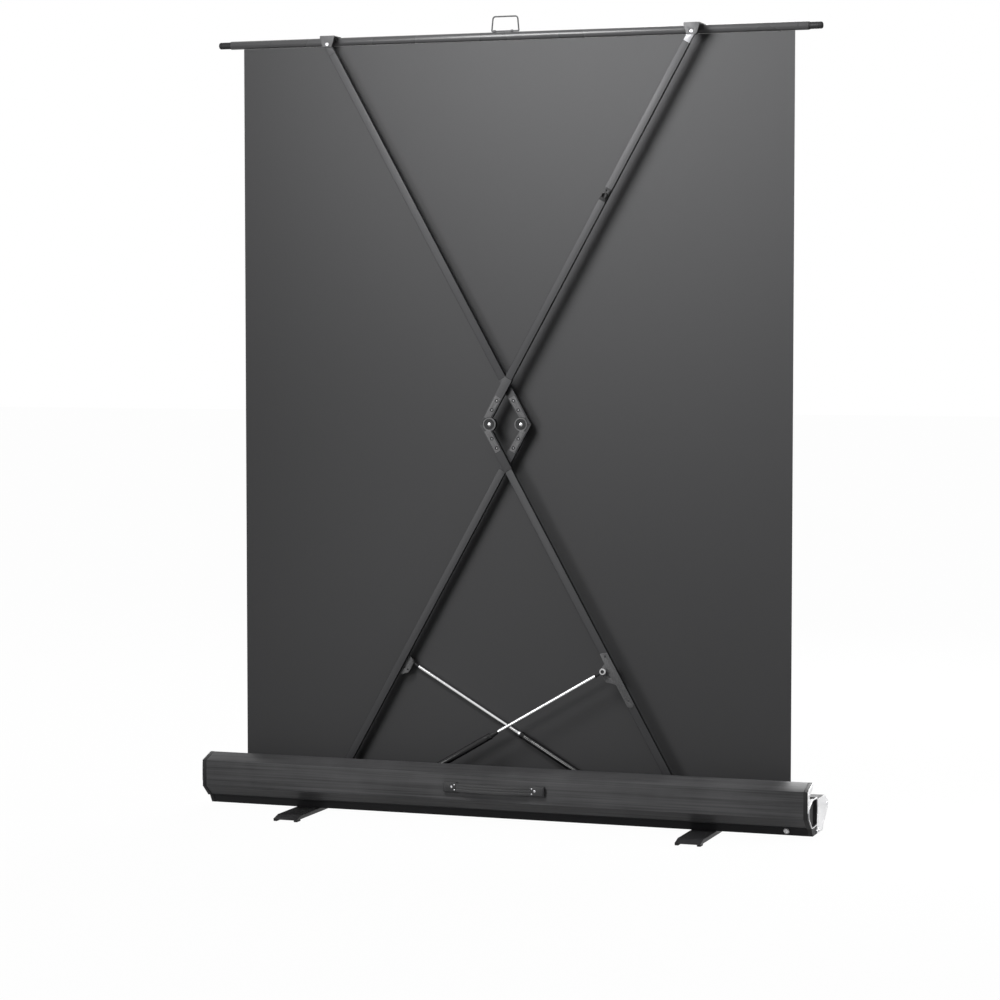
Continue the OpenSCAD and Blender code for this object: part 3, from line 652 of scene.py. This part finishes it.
@dataclass(frozen=True)
class Lamp:
    """A square area lamp: where it hangs, what it faces, its side in metres, watts and beam in degrees."""

    name: str
    spot: Spot
    aim: Spot
    size: float
    watts: float
    beam_deg: float = 180.0

    def hang(self) -> None:
        """Add the lamp to the scene."""
        light = bpy.data.lights.new(self.name, "AREA")
        light.size = self.size
        light.energy = self.watts
        light.spread = math.radians(self.beam_deg)
        made = bpy.data.objects.new(self.name, light)
        made.location = self.spot
        made.rotation_euler = (Vector(self.aim) - Vector(self.spot)).to_track_quat("-Z", "Y").to_euler()
        bpy.context.scene.collection.objects.link(made)


LAMPS = (
    Lamp("top", (-0.35, -1.6, 2.25), (0.7, 0.0, 1.9), 1.0, 23.5, 108.0),
    Lamp("key", (-1.75, -3.5, 1.2), (-0.4, 0.0, 0.8), 1.1, 33.0),
    Lamp("case", (-0.45, -1.1, 1.5), (-0.3, -0.1, 0.05), 0.4, 0.5, 50.0),
    Lamp("end", (2.4, 0.5, 0.6), (0.69, 0.0, 0.08), 0.6, 4.0, 60.0),
    Lamp("front", (0.4, 3.0, 2.6), (0.0, 0.0, 0.9), 2.0, 88.0),
)


@dataclass
class Studio:
    """Floor, lamps, world and the camera at the photograph's angle."""

    spot: Spot = (2.0672, -5.9613, 1.0746)
    yaw_deg: float = 19.288
    pitch_deg: float = 3.359
    lens_mm: float = 104.45
    ambient: float = 0.06
    mirrored: float = 0.9
    floor_mirrored: float = 0.4
    floor_grey: float = 0.42
    floor_glow: float = 1.045
    floor_share: float = 0.94
    floor_half: float = 30.0

    def build(self, shop: Workshop) -> None:
        """Set up the studio.

        Args:
            shop: Not used here: the studio has no pieces.
        """
        self.camera()
        self.floor()
        self.world()
        for lamp in LAMPS:
            lamp.hang()
        bpy.context.scene.view_settings.view_transform = "Standard"

    def camera(self) -> None:
        """Place the camera."""
        lens = bpy.data.cameras.new("camera")
        lens.lens = self.lens_mm
        lens.sensor_width = 36.0
        lens.sensor_fit = "HORIZONTAL"
        made = bpy.data.objects.new("camera", lens)
        made.location = self.spot
        made.rotation_euler = (math.radians(90 - self.pitch_deg), 0, math.radians(self.yaw_deg))
        bpy.context.scene.collection.objects.link(made)
        bpy.context.scene.camera = made

    def floor(self) -> None:
        """Lay a plain pale floor, nearly white to the camera and dimmer to mirrors, that keeps the shadow."""
        shape = bmesh.new()
        bmesh.ops.create_grid(shape, x_segments=1, y_segments=1, size=self.floor_half)
        mesh = bpy.data.meshes.new("studio_floor")
        shape.to_mesh(mesh)
        shape.free()
        shader = Shader("pale_floor")
        shader.skin.inputs["Base Color"].default_value = (*(self.floor_grey,) * 3, 1)
        shader.skin.inputs["Roughness"].default_value = 0.9
        shader.skin.inputs["Specular IOR Level"].default_value = 0.0
        glow = shader.add("ShaderNodeEmission")
        glow.inputs["Strength"].default_value = self.floor_glow
        ray = shader.add("ShaderNodeLightPath")
        level = ray.outputs["Is Camera Ray"]
        for kind, part in (("Is Glossy Ray", self.floor_mirrored), ("Is Transmission Ray", 1.0)):
            step = shader.add("ShaderNodeMath", operation="MULTIPLY")
            step.inputs[1].default_value = part
            shader.tree.links.new(ray.outputs[kind], step.inputs[0])
            larger = shader.add("ShaderNodeMath", operation="MAXIMUM")
            shader.tree.links.new(level, larger.inputs[0])
            shader.tree.links.new(step.outputs["Value"], larger.inputs[1])
            level = larger.outputs["Value"]
        share = shader.add("ShaderNodeMath", operation="MULTIPLY")
        share.inputs[1].default_value = self.floor_share
        shader.tree.links.new(level, share.inputs[0])
        mix = shader.add("ShaderNodeMixShader")
        out = next(n for n in shader.tree.nodes if n.bl_idname == "ShaderNodeOutputMaterial")
        shader.tree.links.new(share.outputs["Value"], mix.inputs["Fac"])
        shader.tree.links.new(shader.skin.outputs["BSDF"], mix.inputs[1])
        shader.tree.links.new(glow.outputs["Emission"], mix.inputs[2])
        shader.tree.links.new(mix.outputs["Shader"], out.inputs["Surface"])
        mesh.materials.append(shader.material)
        made = bpy.data.objects.new("studio_floor", mesh)
        bpy.context.scene.collection.objects.link(made)

    def world(self) -> None:
        """Give even soft light, and white to the camera and to mirrors."""
        world = bpy.data.worlds.new("studio")
        bpy.context.scene.world = world
        world.use_nodes = True
        tree = world.node_tree
        tree.nodes.clear()
        out = tree.nodes.new("ShaderNodeOutputWorld")
        sky = tree.nodes.new("ShaderNodeBackground")
        sky.inputs["Color"].default_value = (1, 1, 1, 1)
        ray = tree.nodes.new("ShaderNodeLightPath")
        level = ray.outputs["Is Camera Ray"]
        shares = (("Is Transmission Ray", 1.0), ("Is Glossy Ray", self.mirrored), ("", self.ambient))
        for kind, share in shares:
            step = tree.nodes.new("ShaderNodeMath")
            step.operation = "MULTIPLY"
            step.inputs[0].default_value = 1.0
            step.inputs[1].default_value = share
            if kind:
                tree.links.new(ray.outputs[kind], step.inputs[0])
            larger = tree.nodes.new("ShaderNodeMath")
            larger.operation = "MAXIMUM"
            tree.links.new(level, larger.inputs[0])
            tree.links.new(step.outputs["Value"], larger.inputs[1])
            level = larger.outputs["Value"]
        tree.links.new(level, sky.inputs["Strength"])
        tree.links.new(sky.outputs["Background"], out.inputs["Surface"])


@dataclass
class Case:
    """The long bevelled case: casings, rail, ends, brackets and the carrying handle."""

    rear_y: float = -92.5
    handle_z: float = 84.0
    span: float = 200.0
    strap_h: float = 18.0
    strap_t: float = 3.0
    bow: float = 14.0
    block: Spot = (32.0, 9.0, 22.0)
    end_x: float = 693.0
    end_screws: tuple[tuple[float, float], ...] = ((-85.3, 106.8), (85.3, 62.8), (-8.0, 18.2), (8.0, 18.2))
    lock_screw: Spot = (637.0, -50.0, 22.5)
    chamfer: tuple[float, float] = (21.0, 12.0)

    def build(self, shop: Workshop) -> None:
        """Dress the case.

        Args:
            shop: Finishes the pieces.
        """
        shop.eased("rear_casing", CASE, 1.6, 3, 12.0)
        shop.eased("front_casing", CASE, 1.6, 3, 12.0)
        shop.eased("base_rail", RAIL, 0.8)
        for side in ("left", "right"):
            shop.eased(f"end_cap_{side}", PLASTIC, 0.8)
            shop.eased(f"end_plate_{side}", SILVER, 0.5)
            shop.eased(f"roller_bracket_{side}", FRAME, 0.4)
        for node, finish in (("arm_brackets", FRAME), ("strut_brackets", FRAME), ("base_pins", STEEL),
                             ("foot_bolts", STEEL)):
            shop.eased(node, finish, 0.35)
        for node, finish in (("roller_axle", STEEL), ("roller_spring", STEEL)):
            shop.paint(node, finish)
        self.strap(shop)
        self.blocks(shop)
        self.screws(shop)

    @property
    def arc(self) -> tuple[float, float]:
        """Radius of the strap's arc, and the Y of its middle line at the blocks."""
        half = self.span / 2
        return (half * half + self.bow * self.bow) / (2 * self.bow), self.rear_y - self.block[1] / 2 + 1

    def strap(self, shop: Workshop) -> None:
        """Bow the strap between its blocks, with three long ribs on its outer face.

        Args:
            shop: Finishes the pieces.
        """
        radius, line = self.arc
        centre = Vector((0, line - self.bow + radius, 0)) * MM
        reach = self.span / 2 - self.block[0] / 2 + 5
        half = math.asin(reach / radius)
        inner, outer = radius - self.strap_t / 2, radius + self.strap_t / 2 - 0.8
        low, high = self.handle_z - self.strap_h / 2, self.handle_z + self.strap_h / 2
        section = [(inner, low + 0.8), (inner, high - 0.8), (inner + 0.6, high), (outer + 0.2, high)]
        for rib in (high - 3.4, self.handle_z, low + 3.4):
            section += [(outer + 0.2, rib + 2.2), (outer + 0.8, rib + 1.5), (outer + 0.8, rib - 1.5),
                        (outer + 0.2, rib - 2.2)]
        section += [(outer + 0.2, low), (inner + 0.6, low)]
        shape = bmesh.new()
        verts = [shape.verts.new((0, -r * MM, z * MM)) for r, z in section]
        start = shape.faces.new(verts)
        bmesh.ops.rotate(shape, verts=shape.verts, cent=(0, 0, 0), matrix=Matrix.Rotation(-half, 3, "Z"))
        bmesh.ops.spin(shape, geom=[start], cent=(0, 0, 0), axis=(0, 0, 1), dvec=(0, 0, 0), angle=2 * half,
                       steps=48, use_merge=False, use_duplicate=False)
        bmesh.ops.translate(shape, vec=centre, verts=shape.verts)
        bmesh.ops.recalc_face_normals(shape, faces=shape.faces)
        shop.piece("carry_strap_ribbed", shape, [STRAP], "case", ["carry_strap"], smooth=28)

    def blocks(self, shop: Workshop) -> None:
        """Shape the moulded end blocks, each with a raised rim round its slot.

        Args:
            shop: Finishes the pieces.
        """
        wide, deep, tall = self.block
        shape = bmesh.new()
        for side in (-1, 1):
            x = side * self.span / 2
            slab(shape, (x - wide / 2, self.rear_y - deep, self.handle_z - tall / 2),
                 (x + wide / 2, self.rear_y, self.handle_z + tall / 2), 2.2)
            slab(shape, (x - wide / 2 + 2.5, self.rear_y - deep - 0.6, self.handle_z - tall / 2 + 2.5),
                 (x + wide / 2 - 2.5, self.rear_y - deep + 2, self.handle_z + tall / 2 - 2.5), 0.6)
        shop.piece("handle_blocks_moulded", shape, [BLOCK], "case", ["handle_blocks"])

    def screws(self, shop: Workshop) -> None:
        """Turn the bright screw heads of the handle, the ends and the roller bracket.

        Args:
            shop: Finishes the pieces.
        """
        shape = bmesh.new()
        front = self.rear_y - self.block[1] - 0.5
        for side in (-1, 1):
            middle = side * (self.span / 2 - 5)
            socket_head(shape, along((middle, front, self.handle_z + 1), (0, -1, 0)), 2.6, 0.9)
            for up in (-5.5, 5.5):
                rivet = along((side * (self.span / 2 - 11.5), front, self.handle_z + up), (0, -1, 0))
                lathe(shape, [(-0.6, 0), (-0.6, 1.5), (0.3, 1.5), (0.7, 0.9), (0.8, 0)], rivet, 20)
            for y, z in self.end_screws:
                socket_head(shape, along((side * self.end_x, y, z), (side, 0, 0)), 4.0, 1.0)
        slant = math.atan2(*self.chamfer)
        outward = (0, -math.sin(slant), -math.cos(slant))
        # The lock screw is bright metal; its near-white satin silver, paler than the zinc steel of the other
        # heads, is partly painted reflection that keeps it white while it faces the dark floor
        turned = len(shape.faces)
        socket_head(shape, along(self.lock_screw, outward), 6.5, 3.4)
        shape.faces.ensure_lookup_table()
        for face in shape.faces[turned:]:
            face.material_index = 1
        shop.piece("case_screw_heads", shape, [STEEL, SILVER], "case", ["case_screws"])


def socket_head(shape: bmesh.types.BMesh, place: Matrix, radius: float, height: float) -> None:
    """Turn a domed screw head with a deep round socket.

    Args:
        shape: Receives the faces.
        place: X points out of the surface that the head sits on.
        radius: Radius of the head in millimetres.
        height: Height of the head in millimetres.
    """
    lathe(shape, [(-0.8, 0), (-0.8, radius * 0.7), (0, radius), (height * 0.35, radius),
                  (height * 0.8, radius * 0.86), (height, radius * 0.6), (height, radius * 0.46),
                  (height * 0.3, radius * 0.4), (height * 0.2, 0)], place, 32)


@dataclass
class Roller:
    """The roller inside the case, with the turns of cloth left on it."""

    axis_y: float = 37.9
    axis_z: float = 57.5
    core: float = 20.3
    outer: float = 22.0
    half: float = 630.0
    turns: int = 2
    steps: int = 48
    strip: float = 0.5

    def build(self, shop: Workshop) -> None:
        """Dress the roller.

        Args:
            shop: Finishes the pieces.
        """
        shop.paint("roller_tube", SILVER)
        shop.eased("roller_plug_left", PLASTIC, 0.5)
        shop.eased("roller_plug_right", PLASTIC, 0.5)
        self.cloth_turns(shop)

    def cloth_turns(self, shop: Workshop) -> None:
        """Wind the cloth as one spiral strip.

        Args:
            shop: Finishes the pieces.
        """
        shape = bmesh.new()
        count = self.steps * self.turns
        verts = []
        for i in range(count + 1):
            turn = math.pi + i / self.steps * math.tau
            r = self.outer - (self.outer - self.core) * i / count
            verts.append(shape.verts.new((-self.half * MM, (self.axis_y + r * math.cos(turn)) * MM,
                                          (self.axis_z + r * math.sin(turn)) * MM)))
        edges = [shape.edges.new(pair) for pair in zip(verts, verts[1:])]
        grown = bmesh.ops.extrude_edge_only(shape, edges=edges)["geom"]
        bmesh.ops.translate(shape, vec=(2 * self.half * MM, 0, 0),
                            verts=[g for g in grown if isinstance(g, bmesh.types.BMVert)])
        bmesh.ops.recalc_face_normals(shape, faces=shape.faces)
        bmesh.ops.solidify(shape, geom=list(shape.faces), thickness=self.strip * MM)
        bmesh.ops.recalc_face_normals(shape, faces=shape.faces)
        shop.piece("cloth_turns", shape, [BACK_CLOTH], "roller", ["fabric_wrap"], smooth=50)


@dataclass
class Cloth:
    """The screen's cloth: black back, and a white picture area with black borders in front."""

    half_w: float = 630.0
    low_z: float = 57.5
    high_z: float = 1699.65
    plane_y: float = 15.0
    thickness: float = 0.8
    border: float = 30.0
    picture_h: float = 900.0
    keep: float = 0.0313

    def build(self, shop: Workshop) -> None:
        """Cut, border and hang the cloth.

        Args:
            shop: Finishes the pieces.
        """
        flat = (2 * self.half_w * MM, (self.high_z - self.low_z) * MM)
        upright = Matrix.Rotation(math.pi / 2, 3, "X")
        shape = bmesh.new()
        bmesh.ops.create_grid(shape, x_segments=60, y_segments=80, size=0.5)
        bmesh.ops.scale(shape, vec=(*flat, 1), verts=shape.verts)
        bmesh.ops.rotate(shape, verts=shape.verts, cent=(0, 0, 0), matrix=upright)
        middle = Vector((0, self.plane_y, (self.high_z + self.low_z) / 2)) * MM
        bmesh.ops.translate(shape, vec=middle, verts=shape.verts)
        top = self.high_z - self.border
        for point, normal in (((-self.half_w + self.border, 0, 0), (1, 0, 0)),
                              ((self.half_w - self.border, 0, 0), (1, 0, 0)),
                              ((0, 0, top), (0, 0, 1)), ((0, 0, top - self.picture_h), (0, 0, 1))):
            bmesh.ops.bisect_plane(shape, geom=shape.verts[:] + shape.edges[:] + shape.faces[:],
                                   plane_co=Vector(point) * MM, plane_no=normal)
        shape.normal_update()
        if shape.faces[:][0].normal.y > 0:
            bmesh.ops.reverse_faces(shape, faces=shape.faces)
        bmesh.ops.translate(shape, vec=(0, -self.thickness / 2 * MM, 0), verts=shape.verts)
        bmesh.ops.solidify(shape, geom=list(shape.faces), thickness=self.thickness * MM)
        bmesh.ops.recalc_face_normals(shape, faces=shape.faces)
        for face in shape.faces:
            at = face.calc_center_median() / MM
            inside = abs(at.x) < self.half_w - self.border and top - self.picture_h < at.z < top
            face.material_index = 1 if face.normal.y > 0.5 and inside else 0
        made = shop.piece("screen_cloth", shape, [BACK_CLOTH, WHITE_CLOTH], "case", ["screen_fabric"])
        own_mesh(made)


@dataclass
class Legs:
    """The two crossed legs with their hinges, plates and catches."""

    plan: Linkage
    leaf_face: float = 5.5
    leaf_middle: float = 10.0
    leaf_spots: tuple[float, float] = (30.0, 53.0)

    def build(self, shop: Workshop) -> None:
        """Dress both legs.

        Args:
            shop: Finishes the pieces.
        """
        for leg in ("a", "b"):
            eye = EYE if leg == "b" else FRAME
            for node, finish in (("base_eye", FRAME), ("strut_plate", LEAF), ("top_eye", eye),
                                 ("catch", PLASTIC)):
                shop.eased(f"{node}_{leg}", finish, 0.4)
            for part in ("lower", "upper"):
                knee = self.plan.knee(leg, part == "upper")
                # Only the flat front and back faces keep the frame paint; the sides and eased edges of arms
                # and knuckles take the painted-shade black
                flat = Raised(FRAME, knee, 4.0)
                shop.eased(f"{part}_arm_{leg}", SHADED_SIDE, 1.0, raised=[flat])
                shop.eased(f"{part}_knuckle_{leg}", SHADED_SIDE, 0.5, raised=[flat, Raised(LEAF, knee, 5.2)])
                self.leaf_screws(shop, leg, part)
            self.hub(shop, leg)

    def hub(self, shop: Workshop, leg: str) -> None:
        """Turn the domed rivet of a knee, and the dark disc with a ring round it.

        Args:
            shop: Finishes the pieces.
            leg: The leg, "a" or "b".
        """
        near = -1 if leg == "b" else 1
        place = self.plan.knee(leg, False) @ Matrix.Rotation(math.radians(90 * near), 4, "Z")
        rivet = bmesh.new()
        lathe(rivet, [(-4.6, 0), (-4.6, 3.4), (4.9, 3.4), (4.9, 3.9), (5.6, 3.8), (6.2, 3.2), (6.5, 2.0),
                      (6.6, 0)], place)
        lathe(rivet, [(-5.5, 0), (-5.5, 5.0), (-4.7, 5.0), (-4.7, 0)], place)
        shop.piece(f"knee_rivet_{leg}", rivet, [CHROME], f"lower_leg_{leg}", [f"knee_pin_{leg}"])
        disc = bmesh.new()
        lathe(disc, [(4.6, 4.5), (4.9, 4.6), (4.9, 6.4), (5.4, 6.9), (5.4, 8.3), (4.9, 8.8), (4.9, 11.1),
                     (4.6, 11.3), (4.6, 4.5)], place)
        shop.piece(f"knee_disc_{leg}", disc, [DISC], f"lower_leg_{leg}")

    def leaf_screws(self, shop: Workshop, leg: str, part: str) -> None:
        """Turn the sunk screws of a knuckle's leaves, each a dark cup round a bright dome, on both faces.

        Args:
            shop: Finishes the pieces.
            leg: The leg, "a" or "b".
            part: Arm that carries the leaves, "lower" or "upper".
        """
        knee = self.plan.knee(leg, part == "upper")
        shape = bmesh.new()
        for s in self.leaf_spots:
            for face in (-1, 1):
                spot = Vector((-s, face * self.leaf_face, self.leaf_middle)) * MM
                place = knee @ Matrix.Translation(spot) @ Matrix.Rotation(math.radians(90 * face), 4, "Z")
                lathe(shape, [(-0.8, 0), (-0.8, 2.6), (0, 4.0), (0.4, 3.9), (0.4, 3.2), (-0.5, 2.3),
                              (-0.5, 0)], place, 24)
                turned = len(shape.faces)
                lathe(shape, [(-0.6, 0), (-0.6, 1.2), (0.3, 1.1), (0.7, 0.6), (0.8, 0)], place, 20)
                shape.faces.ensure_lookup_table()
                for dome in shape.faces[turned:]:
                    dome.material_index = 1
        shop.piece(f"knuckle_screws_{part}_{leg}", shape, [DARK_STEEL, STEEL], f"{part}_leg_{leg}",
                   [f"{part}_screws_{leg}"])


@dataclass
class Struts:
    """The two gas struts."""

    plan: Linkage
    cylinder_r: float = 7.5
    cylinder_end: float = 318.0
    rod_r: float = 3.9
    eye_r: float = 6.5
    neck: float = 20.0

    def build(self, shop: Workshop) -> None:
        """Turn cylinders, rods and their end fittings.

        Args:
            shop: Finishes the pieces.
        """
        for leg in ("a", "b"):
            place, length = self.plan.strut(leg)
            body = bmesh.new()
            r, end, thin = self.cylinder_r, self.cylinder_end, self.rod_r
            lathe(body, [(5, 0), (5, 3.4), (19, 3.4), (20, r - 1.2), (21.5, r), (end - 12, r),
                         (end - 11, r - 0.5), (end - 9, r - 0.5), (end - 8, r), (end - 1.5, r),
                         (end, r - 1.6), (end, thin + 0.1), (end - 20, thin + 0.1)], place)
            lathe(body, [(-3.5, 0), (-3.5, self.eye_r), (3.5, self.eye_r), (3.5, 0)],
                  place @ Matrix.Rotation(math.pi / 2, 4, "Z"))
            shop.piece(f"gas_cylinder_{leg}_turned", body, [CYLINDER], f"gas_cylinder_{leg}",
                       [f"strut_cylinder_{leg}"])
            self.sleeve(shop, leg, place)
            rod = bmesh.new()
            far = length - self.neck
            lathe(rod, [(end - 36, 0), (end - 36, thin), (far, thin), (far, 0)], place, 32)
            shop.piece(f"gas_rod_{leg}_turned", rod, [CHROME], f"gas_rod_{leg}", [f"strut_rod_{leg}"])
            self.rod_end(shop, leg, place, length)

    def sleeve(self, shop: Workshop, leg: str, place: Matrix) -> None:
        """Turn what closes the cylinder: a bright collar on strut A, a dark boot on strut B.

        Args:
            shop: Finishes the pieces.
            leg: The leg, "a" or "b".
            place: The strut's place.
        """
        end, bore = self.cylinder_end, self.rod_r + 0.15
        profile = [(end, bore), (end, 5.6), (end + 4, 5.4), (end + 5, 4.8), (end + 5, bore), (end, bore)]
        if leg == "b":
            profile = [(end, bore), (end, 5.8), (end + 6, 5.6), (end + 7, 5.0), (end + 18, 4.4),
                       (end + 19, bore), (end, bore)]
        shape = bmesh.new()
        lathe(shape, profile, place)
        finish, name = (STEEL, "gland_collar_a") if leg == "a" else (PLASTIC, "gland_boot_b")
        shop.piece(name, shape, [finish], f"gas_cylinder_{leg}")

    def rod_end(self, shop: Workshop, leg: str, place: Matrix, length: float) -> None:
        """Turn the rod's black neck and its bright ring round a dark stud.

        Args:
            shop: Finishes the pieces.
            leg: The leg, "a" or "b".
            place: The strut's place.
            length: Length of the strut in millimetres.
        """
        neck = bmesh.new()
        start = length - self.neck
        lathe(neck, [(start, 0), (start, 4.2), (start + 3, 4.2), (start + 4, 3.4), (length - 6, 3.4),
                     (length - 4, 0)], place, 32)
        across = place @ Matrix.Translation((length * MM, 0, 0)) @ Matrix.Rotation(-math.pi / 2, 4, "Z")
        lathe(neck, [(-3.4, 0), (-3.4, 3.8), (2.2, 3.8), (2.2, 0)], across)
        shop.piece(f"rod_neck_{leg}", neck, [DISC], f"gas_rod_{leg}")
        ring = bmesh.new()
        lathe(ring, [(-3.5, 3.9), (-3.5, 6.4), (-2.9, 7.1), (3.0, 7.1), (3.6, 6.5), (3.6, 4.0), (2.6, 3.5),
                     (-3.5, 3.9)], across)
        shop.piece(f"rod_ring_{leg}", ring, [CHROME if leg == "b" else LEAF], f"gas_rod_{leg}")


@dataclass
class TopBar:
    """The round top bar with plugs, saddles, clip and wire bail."""

    plan: Linkage
    bar_y: float = 15.0
    half: float = 660.0
    plug_end: float = 690.0
    plug_r: float = 7.5
    bail_x: float = -12.0
    bail_w: float = 62.0
    bail_h: float = 31.5
    wire_r: float = 1.6

    def build(self, shop: Workshop) -> None:
        """Dress the bar.

        Args:
            shop: Finishes the pieces.
        """
        shop.eased("top_bar", BAR, 0.4)
        for side in ("left", "right"):
            # Saddles: grey front and back faces, with painted-shade black on every other face
            shop.eased(f"bar_saddle_{side}", SHADED_SIDE, 0.7, raised=[Raised(SADDLE, Matrix.Identity(4), 0.0)])
        shop.eased("bail_clip", FRAME, 0.4)
        shop.eased("saddle_pins", STEEL, 0.4)
        self.plugs(shop)
        self.bail(shop)

    @property
    def axis_z(self) -> float:
        """Height of the bar's axis."""
        return self.plan.top_z + 7.7

    def plugs(self, shop: Workshop) -> None:
        """Turn the rounded end plugs.

        Args:
            shop: Finishes the pieces.
        """
        shape = bmesh.new()
        for side in (-1, 1):
            place = along((side * self.half, self.bar_y, self.axis_z), (side, 0, 0))
            reach, r = self.plug_end - self.half, self.plug_r
            lathe(shape, [(-20, 0), (-20, r), (-0.01, r), (0, r + 0.9), (1.6, r + 0.9), (2.2, r),
                          (reach - 9, r), (reach - 8.4, r - 0.5), (reach - 7.6, r - 0.5),
                          (reach - 7, r), (reach - 4, r), (reach - 1.6, r * 0.86),
                          (reach - 0.3, r * 0.55), (reach, 0)], place)
        shop.piece("bar_plugs_turned", shape, [PLASTIC], "bar", ["bar_plugs"])

    def bail(self, shop: Workshop) -> None:
        """Bend the wire bail as a closed ring.

        Args:
            shop: Finishes the pieces.
        """
        pivot = self.axis_z + 9 + self.wire_r + 0.4
        low, high, corner = self.bail_w / 2, self.bail_w / 2 - 3, 6.0
        bends = [(low, 0.0), (high, self.bail_h), (-high, self.bail_h), (-low, 0.0)]
        points = []
        for i, point in enumerate(bends):
            here, before, after = (Vector(bends[k % 4]) for k in (i, i - 1, i + 1))
            radius = corner if point[1] else 2.0
            first = here + (before - here).normalized() * radius
            last = here + (after - here).normalized() * radius
            for step in range(7):
                t = step / 6
                points.append(first * (1 - t) ** 2 + here * 2 * t * (1 - t) + last * t ** 2)
        curve = bpy.data.curves.new("bail_path", "CURVE")
        curve.dimensions = "3D"
        curve.bevel_depth = self.wire_r * MM
        curve.bevel_resolution = 5
        spline = curve.splines.new("POLY")
        spline.points.add(len(points) - 1)
        spline.use_cyclic_u = True
        for knot, point in zip(spline.points, points):
            knot.co = (*(Vector((self.bail_x + point.x, self.bar_y, pivot + point.y)) * MM), 1)
        holder = bpy.data.objects.new("bail_path", curve)
        bpy.context.scene.collection.objects.link(holder)
        bpy.context.view_layer.update()
        shape = bmesh.new()
        mesh = bpy.data.meshes.new_from_object(holder)
        shape.from_mesh(mesh)
        bpy.data.objects.remove(holder)
        bpy.data.curves.remove(curve)
        bpy.data.meshes.remove(mesh)
        bmesh.ops.recalc_face_normals(shape, faces=shape.faces)
        shop.piece("pull_bail_bent", shape, [FRAME], "bail", ["pull_bail"], smooth=60)


@dataclass
class Feet:
    """The two swivelling feet with their rubber corners."""

    def build(self, shop: Workshop) -> None:
        """Dress the feet.

        Args:
            shop: Finishes the pieces.
        """
        for side in ("left", "right"):
            shop.eased(f"foot_{side}", FOOT, 0.7, 2, 12.0)
            shop.eased(f"foot_pads_{side}", RUBBER, 0.6)


def main() -> None:
    """Load the frame, dress every piece and set the scene."""
    logging.basicConfig(level=logging.INFO, format="%(message)s")
    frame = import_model()
    shop = Workshop(frame)
    plan = Linkage()
    for builder in (Studio(), Case(), Roller(), Cloth(), Legs(plan), Struts(plan), TopBar(plan), Feet()):
        builder.build(shop)


if __name__ == "__main__":
    main()
